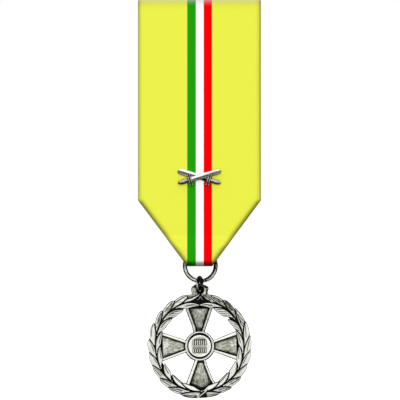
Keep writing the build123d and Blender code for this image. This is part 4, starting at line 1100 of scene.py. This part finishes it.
# top fold
A_Z = 2.28
x = uu * W2
d = W2 - np.abs(x)
y_front = MID_Y - (HALF_T - (HALF_T - 0.03) * quarter(d))
y_flap = FLAP_Y - 0.20 * quarter(d, 0.9)
t_front = (HALF_T - (HALF_T - 0.03) * quarter(d)) - rows_in[-1][:, 1] * 0
t_front = np.abs(rows_out[-1][:, 1] - rows_in[-1][:, 1])
t_flap = np.full_like(d, 0.42) - 0.16 * quarter(d, 0.9)
cy, ay = (y_front + y_flap) / 2, (y_flap - y_front) / 2
for phi in np.linspace(0, np.pi, 27)[1:]:
    mixk = float(smooth01(np.array(phi / np.pi)))
    t = t_front * (1 - mixk) + t_flap * mixk
    t = np.minimum(t, ay * 0.85)
    ztop = 4.9 + A_Z * math.sin(phi) - 0.25 * math.sin(phi) * quarter(d, 0.8)
    zin = 4.9 + np.maximum(A_Z - t, 0.2) * math.sin(phi)
    pil = (ROLL_W - HALF_T + 0.03) * (1 - quarter(d)) * (1 - smooth01(np.array((phi - 1.2) / 0.8)))
    station(ztop, cy - ay * math.cos(phi), np.minimum(zin, ztop - 0.05), cy - (ay - t) * math.cos(phi), x, pil, math.sin(phi), 0)
# the end turned down behind
for z in np.concatenate([np.linspace(4.3, FLAP_END + 0.5, 24), [FLAP_END + 0.28, FLAP_END + 0.12, FLAP_END + 0.03, FLAP_END]]):
    e = math.sqrt(max(0.0, 1 - (1 - min(1.0, (z - FLAP_END) / 0.5)) ** 2))
    yo = y_flap - 0.13 * (1 - e)
    yi = y_flap - t_flap + 0.05 * (1 - e)
    station(z, yo, z, yi, x, 0 * d, 0, 0)

O = np.stack(rows_out)
I = np.stack(rows_in)
VV = np.stack(rows_v)
PIL, TOPA, LOWA = np.stack(rows_pil), np.stack(rows_top), np.stack(rows_low)
# the two prongs' slits stay closed under the swords; the cloth puckers a little round them
for px_ in (-1.9, 1.9):
    rr2 = np.hypot(O[..., 0] - px_, (O[..., 2] - SWORD_Z) * 0.8)
    O[..., 1] += np.where(O[..., 1] < MID_Y, 0.05 * np.exp(-(rr2 / 1.2) ** 2), 0)
# a woven tape is never dead flat
lay = 0.030 * noise2(O[..., 0], O[..., 2] * 0.35, 6.0, 201) * smooth01(edge_distance(O[..., 0], O[..., 2]) / 3.0)
O[..., 1] += np.where(np.abs(O[..., 1] - MID_Y) < 1.0, lay, 0)
UV = np.stack([O[..., 0] / 100.0, VV / 100.0], -1)
# painted shade on the folds and turned edges, along the diagonals, round the loop at the bottom and along the top
# crease: how much of its colour the cloth keeps
dd = edge_distance(O[..., 0], O[..., 2])
on_diag = smooth01((SH_Z + 0.6 - O[..., 2]) / 1.2)
keep = 1 - on_diag * (1 - np.interp(dd, [0, 0.30, 0.61, 0.85, 1.1, 1.34, 1.6, 1.9], [0.56, 0.60, 0.62, 0.73, 0.86, 0.94, 0.985, 1.0]))
up = O[..., 2] - BOTTOM_Z
keep = keep * np.interp(up, [0, 0.97, 1.27, 1.43, 1.73, 2.02], [0.29, 0.32, 0.50, 0.62, 0.86, 0.99])
down = RIBBON_TOP - O[..., 2]
front_half = smooth01((MID_Y + 0.6 - O[..., 1]) / 0.5)
keep = keep * (1 - (1 - np.interp(down, [-0.2, 0.15, 0.45, 0.75, 1.05, 1.36, 1.66, 1.96, 2.4, 3.0],
                                  [0.74, 0.73, 0.72, 0.75, 0.80, 0.85, 0.89, 0.94, 0.98, 1.0])))
lean = X_OFF + 0.06 * np.clip((SH_Z - O[..., 2]) / (SH_Z - BOTTOM_Z), 0, 1)
O[..., 0] += lean
I[..., 0] += lean
rib = Part()
slab(rib, O, I, {"pillow": PIL, "fold": TOPA, "soil": 1 - keep}, {"pillow": 0, "fold": 0, "soil": 0}, UV, UV)

m_rib, t, b = material("ribbon_cloth_mat")
co = t.obj()
sep = t.new("ShaderNodeSeparateXYZ")
t.link(co, sep.inputs[0])
uvn = t.new("ShaderNodeUVMap", uv_map="UVMap")
suv = t.new("ShaderNodeSeparateXYZ")
t.link(uvn.outputs[0], suv.inputs[0])
# the stripe edges wander by a thread
wob = t.math("MULTIPLY", t.math("SUBTRACT", t.noise(co, 900, 1.0), 0.5), 0.000004)
xs = t.math("ADD", sep.outputs[0], wob)
YEL, GRN, WHT, RED = (0.775, 0.812, 0.0665, 1), (0.0135, 0.325, 0.0032, 1), (0.965, 0.965, 0.965, 1), (0.862, 0.0010, 0.0012, 1)
EDGES = (-0.003748, -0.001150, 0.001200, 0.003710)
SOFT = 0.00006
col = t.mix(t.remap(xs, EDGES[0] - SOFT, EDGES[0] + SOFT, 0, 1), YEL, GRN)
col = t.mix(t.remap(xs, EDGES[1] - SOFT, EDGES[1] + SOFT, 0, 1), col, WHT)
col = t.mix(t.remap(xs, EDGES[2] - SOFT, EDGES[2] + SOFT, 0, 1), col, RED)
col = t.mix(t.remap(xs, EDGES[3] - SOFT, EDGES[3] + SOFT, 0, 1), col, YEL)
# ribs across the tape and threads along it
u_mm = t.math("MULTIPLY", suv.outputs[0], 100.0)
v_mm = t.math("MULTIPLY", suv.outputs[1], 100.0)
slub = t.math("MULTIPLY", t.math("SUBTRACT", t.noise(co, 700, 2.0), 0.5), 0.9)
ribs = t.math("SINE", t.math("ADD", t.math("MULTIPLY", v_mm, 2 * math.pi / 0.30), slub))
warp = t.math("SINE", t.math("MULTIPLY", u_mm, 2 * math.pi / 0.17))
weave = t.math("ADD", t.math("MULTIPLY", ribs, 0.7), t.math("MULTIPLY", t.math("MULTIPLY", warp, ribs), 0.3))
thread = t.noise(co, 5200, 2.0, 0.6, stretch=(1.0, 1.0, 0.25))
shade = t.math("ADD", t.remap(weave, -1, 1, 0.985, 1.012), t.math("MULTIPLY", t.math("SUBTRACT", thread, 0.5), 0.03))
hsv = t.new("ShaderNodeHueSaturation")
t.link(col, hsv.inputs["Color"])
t.link(shade, hsv.inputs["Value"])
col = hsv.outputs[0]
# painted sheen: the crease along the top is painted paler; painted shade darkens the edges and the loop round the ring
fold = t.attr("fold")
soil = t.attr("soil")
col = t.mix(t.math("MULTIPLY", t.math("POWER", fold, 2.2), 0.36), col, (0.90, 0.90, 0.90, 1))
col = t.mix(soil, col, (0.0, 0.0, 0.0, 1))
t.link(col, b.inputs["Base Color"])
b.inputs["Roughness"].default_value = 0.75
b.inputs["Specular IOR Level"].default_value = 0.0
b.inputs["Sheen Weight"].default_value = 0.03
b.inputs["Sheen Roughness"].default_value = 0.35
n1 = t.bump(t.attr("pillow"), 0.001, 1.0)
n2 = t.bump(weave, 0.000012, 0.5, n1)
t.link(n2, b.inputs["Normal"])
o_rib = rib.make("ribbon_strip", m_rib, "ribbon_and_brooch", sharp=75)
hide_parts("ribbon")


# =====================================================================
# finishes of the CAD pieces that stay
# =====================================================================
def metal_plain(name, colour, rough, brush, seed=0.0, wear_col=None):
    """machine-finished metal: fine brushing along X, faint tarnish, brighter edges"""
    m, t, b = material(name)
    co = t.obj()
    streak = t.noise(co, 1500, 3.0, 0.6, stretch=(0.06, 1.0, 1.0))
    blot = t.noise(co, 260 + seed, 3.0, 0.6)
    tone = t.math("ADD", t.math("MULTIPLY", streak, 0.22), t.math("MULTIPLY", blot, 0.30))
    c = t.ramp(tone, [(0.12, tuple(x * 0.62 for x in colour)), (0.26, colour), (0.42, tuple(min(1, x * 1.10) for x in colour))])
    geo = t.new("ShaderNodeNewGeometry")
    edge = t.remap(geo.outputs["Pointiness"], 0.50, 0.60, 0.0, 0.7)
    c = t.mix(edge, c, (*(wear_col or tuple(min(1, x * 1.25) for x in colour)), 1))
    t.link(c, b.inputs["Base Color"])
    b.inputs["Metallic"].default_value = 1.0
    t.link(t.remap(streak, 0.3, 0.7, rough - 0.07, rough + 0.10), b.inputs["Roughness"])
    t.link(t.bump(streak, 0.00001, brush), b.inputs["Normal"])
    return m


def thread_mat(name, colour):
    m, t, b = material(name)
    co = t.obj()
    sep = t.new("ShaderNodeSeparateXYZ")
    t.link(co, sep.inputs[0])
    diag = t.math("ADD", sep.outputs[0], t.math("MULTIPLY", sep.outputs[2], 0.8))
    twist = t.math("SINE", t.math("MULTIPLY", diag, 2 * math.pi / 0.00028))
    fuzz = t.noise(co, 4200, 3.0, 0.7)
    v = t.math("ADD", t.math("MULTIPLY", twist, 0.28), fuzz)
    t.link(t.ramp(v, [(0.15, tuple(x * 0.45 for x in colour)), (0.55, colour), (0.95, tuple(min(1, x * 1.25) for x in colour))]), b.inputs["Base Color"])
    b.inputs["Roughness"].default_value = 0.7
    b.inputs["Sheen Weight"].default_value = 0.25
    t.link(t.bump(t.math("ADD", twist, t.math("MULTIPLY", fuzz, 0.6)), 0.00003, 0.8), b.inputs["Normal"])
    return m


def buckram_mat():
    m, t, b = material("buckram_mat")
    co = t.obj()
    sep = t.new("ShaderNodeSeparateXYZ")
    t.link(co, sep.inputs[0])
    a = t.math("SINE", t.math("MULTIPLY", sep.outputs[0], 2 * math.pi / 0.0007))
    c = t.math("SINE", t.math("MULTIPLY", sep.outputs[2], 2 * math.pi / 0.0007))
    w = t.math("ADD", t.math("MULTIPLY", a, c), t.noise(co, 900, 3.0))
    t.link(t.ramp(w, [(0.0, (0.42, 0.36, 0.26)), (0.6, (0.66, 0.60, 0.47)), (1.0, (0.78, 0.73, 0.61))]), b.inputs["Base Color"])
    b.inputs["Roughness"].default_value = 0.85
    t.link(t.bump(w, 0.00004, 0.6), b.inputs["Normal"])
    return m


FINISH = {
    "brooch_plate": metal_plain("brooch_nickel_mat", (0.60, 0.59, 0.56), 0.30, 0.5),
    "hinge_bracket": metal_plain("bracket_nickel_mat", (0.58, 0.57, 0.54), 0.28, 0.4, 31),
    "brooch_catch": metal_plain("catch_nickel_mat", (0.58, 0.57, 0.54), 0.28, 0.4, 57),
    "hinge_rivet": metal_plain("rivet_steel_mat", (0.50, 0.49, 0.47), 0.26, 0.3, 83),
    "brooch_needle": metal_plain("needle_steel_mat", (0.62, 0.62, 0.62), 0.20, 0.25, 113),
    "device_prongs": metal_plain("device_brass_mat", (0.66, 0.49, 0.22), 0.34, 0.5, 141, (0.82, 0.66, 0.36)),
    "centre_rivet": metal_plain("centre_rivet_mat", (0.46, 0.47, 0.41), 0.36, 0.5, 171, (0.78, 0.79, 0.70)),
    "plate_threads": thread_mat("plate_thread_mat", (0.62, 0.60, 0.10)),
    "seam_stitches": thread_mat("seam_thread_mat", (0.66, 0.66, 0.12)),
    "ribbon_stiffener": buckram_mat(),
}
for node, mat in FINISH.items():
    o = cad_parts[node]
    for s_ in o.material_slots:
        s_.material = mat
    if not o.material_slots:
        o.data.materials.append(mat)

# =====================================================================
# camera, light, floor
# =====================================================================
sc = bpy.context.scene
cam_d = bpy.data.cameras.new("camera")
cam = bpy.data.objects.new("camera", cam_d)
sc.collection.objects.link(cam)
cam_d.sensor_width = 36.0
cam_d.lens = 200.0
DIST = 0.0603 / (18.0 / 200.0)
cam.location = (0.0001055, -0.0024 - DIST, -0.0533)
cam.rotation_euler = (math.radians(90), 0, 0)
cam_d.clip_start, cam_d.clip_end = 0.01, 20.0
sc.camera = cam

sc.view_settings.view_transform = "Standard"
sc.view_settings.look = "None"
sc.view_settings.exposure = 0.0
sc.view_settings.gamma = 1.0

w = bpy.data.worlds.new("studio")
sc.world = w
w.use_nodes = True
t = Nodes(w.node_tree)
out = t.new("ShaderNodeOutputWorld")
tc = t.new("ShaderNodeTexCoord")
sep = t.new("ShaderNodeSeparateXYZ")
t.link(tc.outputs["Generated"], sep.inputs[0])
dx, dy, dz = sep.outputs


def lobe(y, z, power, gain):
    ln = math.hypot(y, z)
    d_ = t.math("ADD", t.math("MULTIPLY", dy, y / ln), t.math("MULTIPLY", dz, z / ln))
    return t.math("MULTIPLY", t.math("POWER", t.math("MAXIMUM", d_, 0.0), power), gain)


light = t.math("ADD", lobe(-1.0, 0.30, 1.3, 0.74), lobe(1.0, 0.45, 2.0, 0.66))
light = t.math("ADD", light, lobe(0.0, 1.0, 1.6, 0.40))
light = t.math("ADD", light, 0.36)
light = t.math("SUBTRACT", light, lobe(0.0, -1.0, 1.0, 0.18))
light = t.math("MAXIMUM", light, 0.02)
bg = t.new("ShaderNodeBackground")
bg.inputs[0].default_value = (1.0, 1.0, 0.985, 1)
t.link(light, bg.inputs[1])
bg2 = t.new("ShaderNodeBackground")
bg2.inputs[0].default_value = (1, 1, 1, 1)
bg2.inputs[1].default_value = 1.0
lp = t.new("ShaderNodeLightPath")
mx = t.new("ShaderNodeMixShader")
t.link(lp.outputs["Is Camera Ray"], mx.inputs[0])
t.link(bg.outputs[0], mx.inputs[1])
t.link(bg2.outputs[0], mx.inputs[2])
t.link(mx.outputs[0], out.inputs[0])


def softbox(name, loc, target, size, power, glossy=False):
    l_ = bpy.data.lights.new(name, "AREA")
    l_.shape = "RECTANGLE"
    l_.size, l_.size_y = size
    l_.energy = power
    o = bpy.data.objects.new(name, l_)
    sc.collection.objects.link(o)
    o.location = loc
    o.rotation_mode = "QUATERNION"
    o.rotation_quaternion = (Vector(target) - Vector(loc)).to_track_quat("-Z", "Y")
    o.visible_camera = False
    o.visible_glossy = glossy
    return o


softbox("key_front", (-0.10, -0.95, 0.20), (0, 0, -0.055), (0.9, 0.7), 3.66)
softbox("key_back", (0.10, 0.95, 0.28), (0, 0, -0.055), (0.9, 0.7), 3.66)

# plain pale floor, below the picture in the level view
fl = Part()
th = np.linspace(0, 2 * np.pi, 129)[:-1]
rads = np.array([0.02, 0.2, 0.6, 1.2, 1.8, 1.82, 1.8, 0.02])
hts = np.array([0.0, 0.0, 0.0, 0.0, 0.0, -0.01, -0.02, -0.02])
RR, TT = np.meshgrid(rads, th)
ring_shell(fl, np.stack([RR * np.cos(TT), RR * np.sin(TT), np.broadcast_to(hts, RR.shape)], -1) * 1000)
me = bpy.data.meshes.new("floor")
F = [q for q in fl.f]
v = np.concatenate(fl.v) * MM
v[:, 2] += -0.150
nv = len(v)
v = np.vstack([v, [0, 0, -0.150], [0, 0, -0.170]])
m_ = len(rads)
# fill the small hole in the middle
inner = [i * m_ for i in range(len(th))]
inner2 = [i * m_ + m_ - 1 for i in range(len(th))]
F = [q for q in F if not (set(q) <= set(inner) | set(inner2))]
for i in range(len(th)):
    j = (i + 1) % len(th)
    F.append([inner[i], inner[j], nv])
    F.append([inner2[j], inner2[i], nv + 1])
me.from_pydata(v.tolist(), [], F)
floor = bpy.data.objects.new("floor", me)
sc.collection.objects.link(floor)
mf, t, b = material("floor_mat")
co = t.obj()
t.link(t.ramp(t.noise(co, 60, 2.0), [(0.3, (0.86, 0.86, 0.855)), (0.7, (0.90, 0.90, 0.895))]), b.inputs["Base Color"])
b.inputs["Roughness"].default_value = 0.9
b.inputs["Specular IOR Level"].default_value = 0.1
b.inputs["Emission Color"].default_value = (1, 1, 1, 1)
b.inputs["Emission Strength"].default_value = 0.35
me.materials.append(mf)
floor.visible_diffuse = False
floor.visible_glossy = False
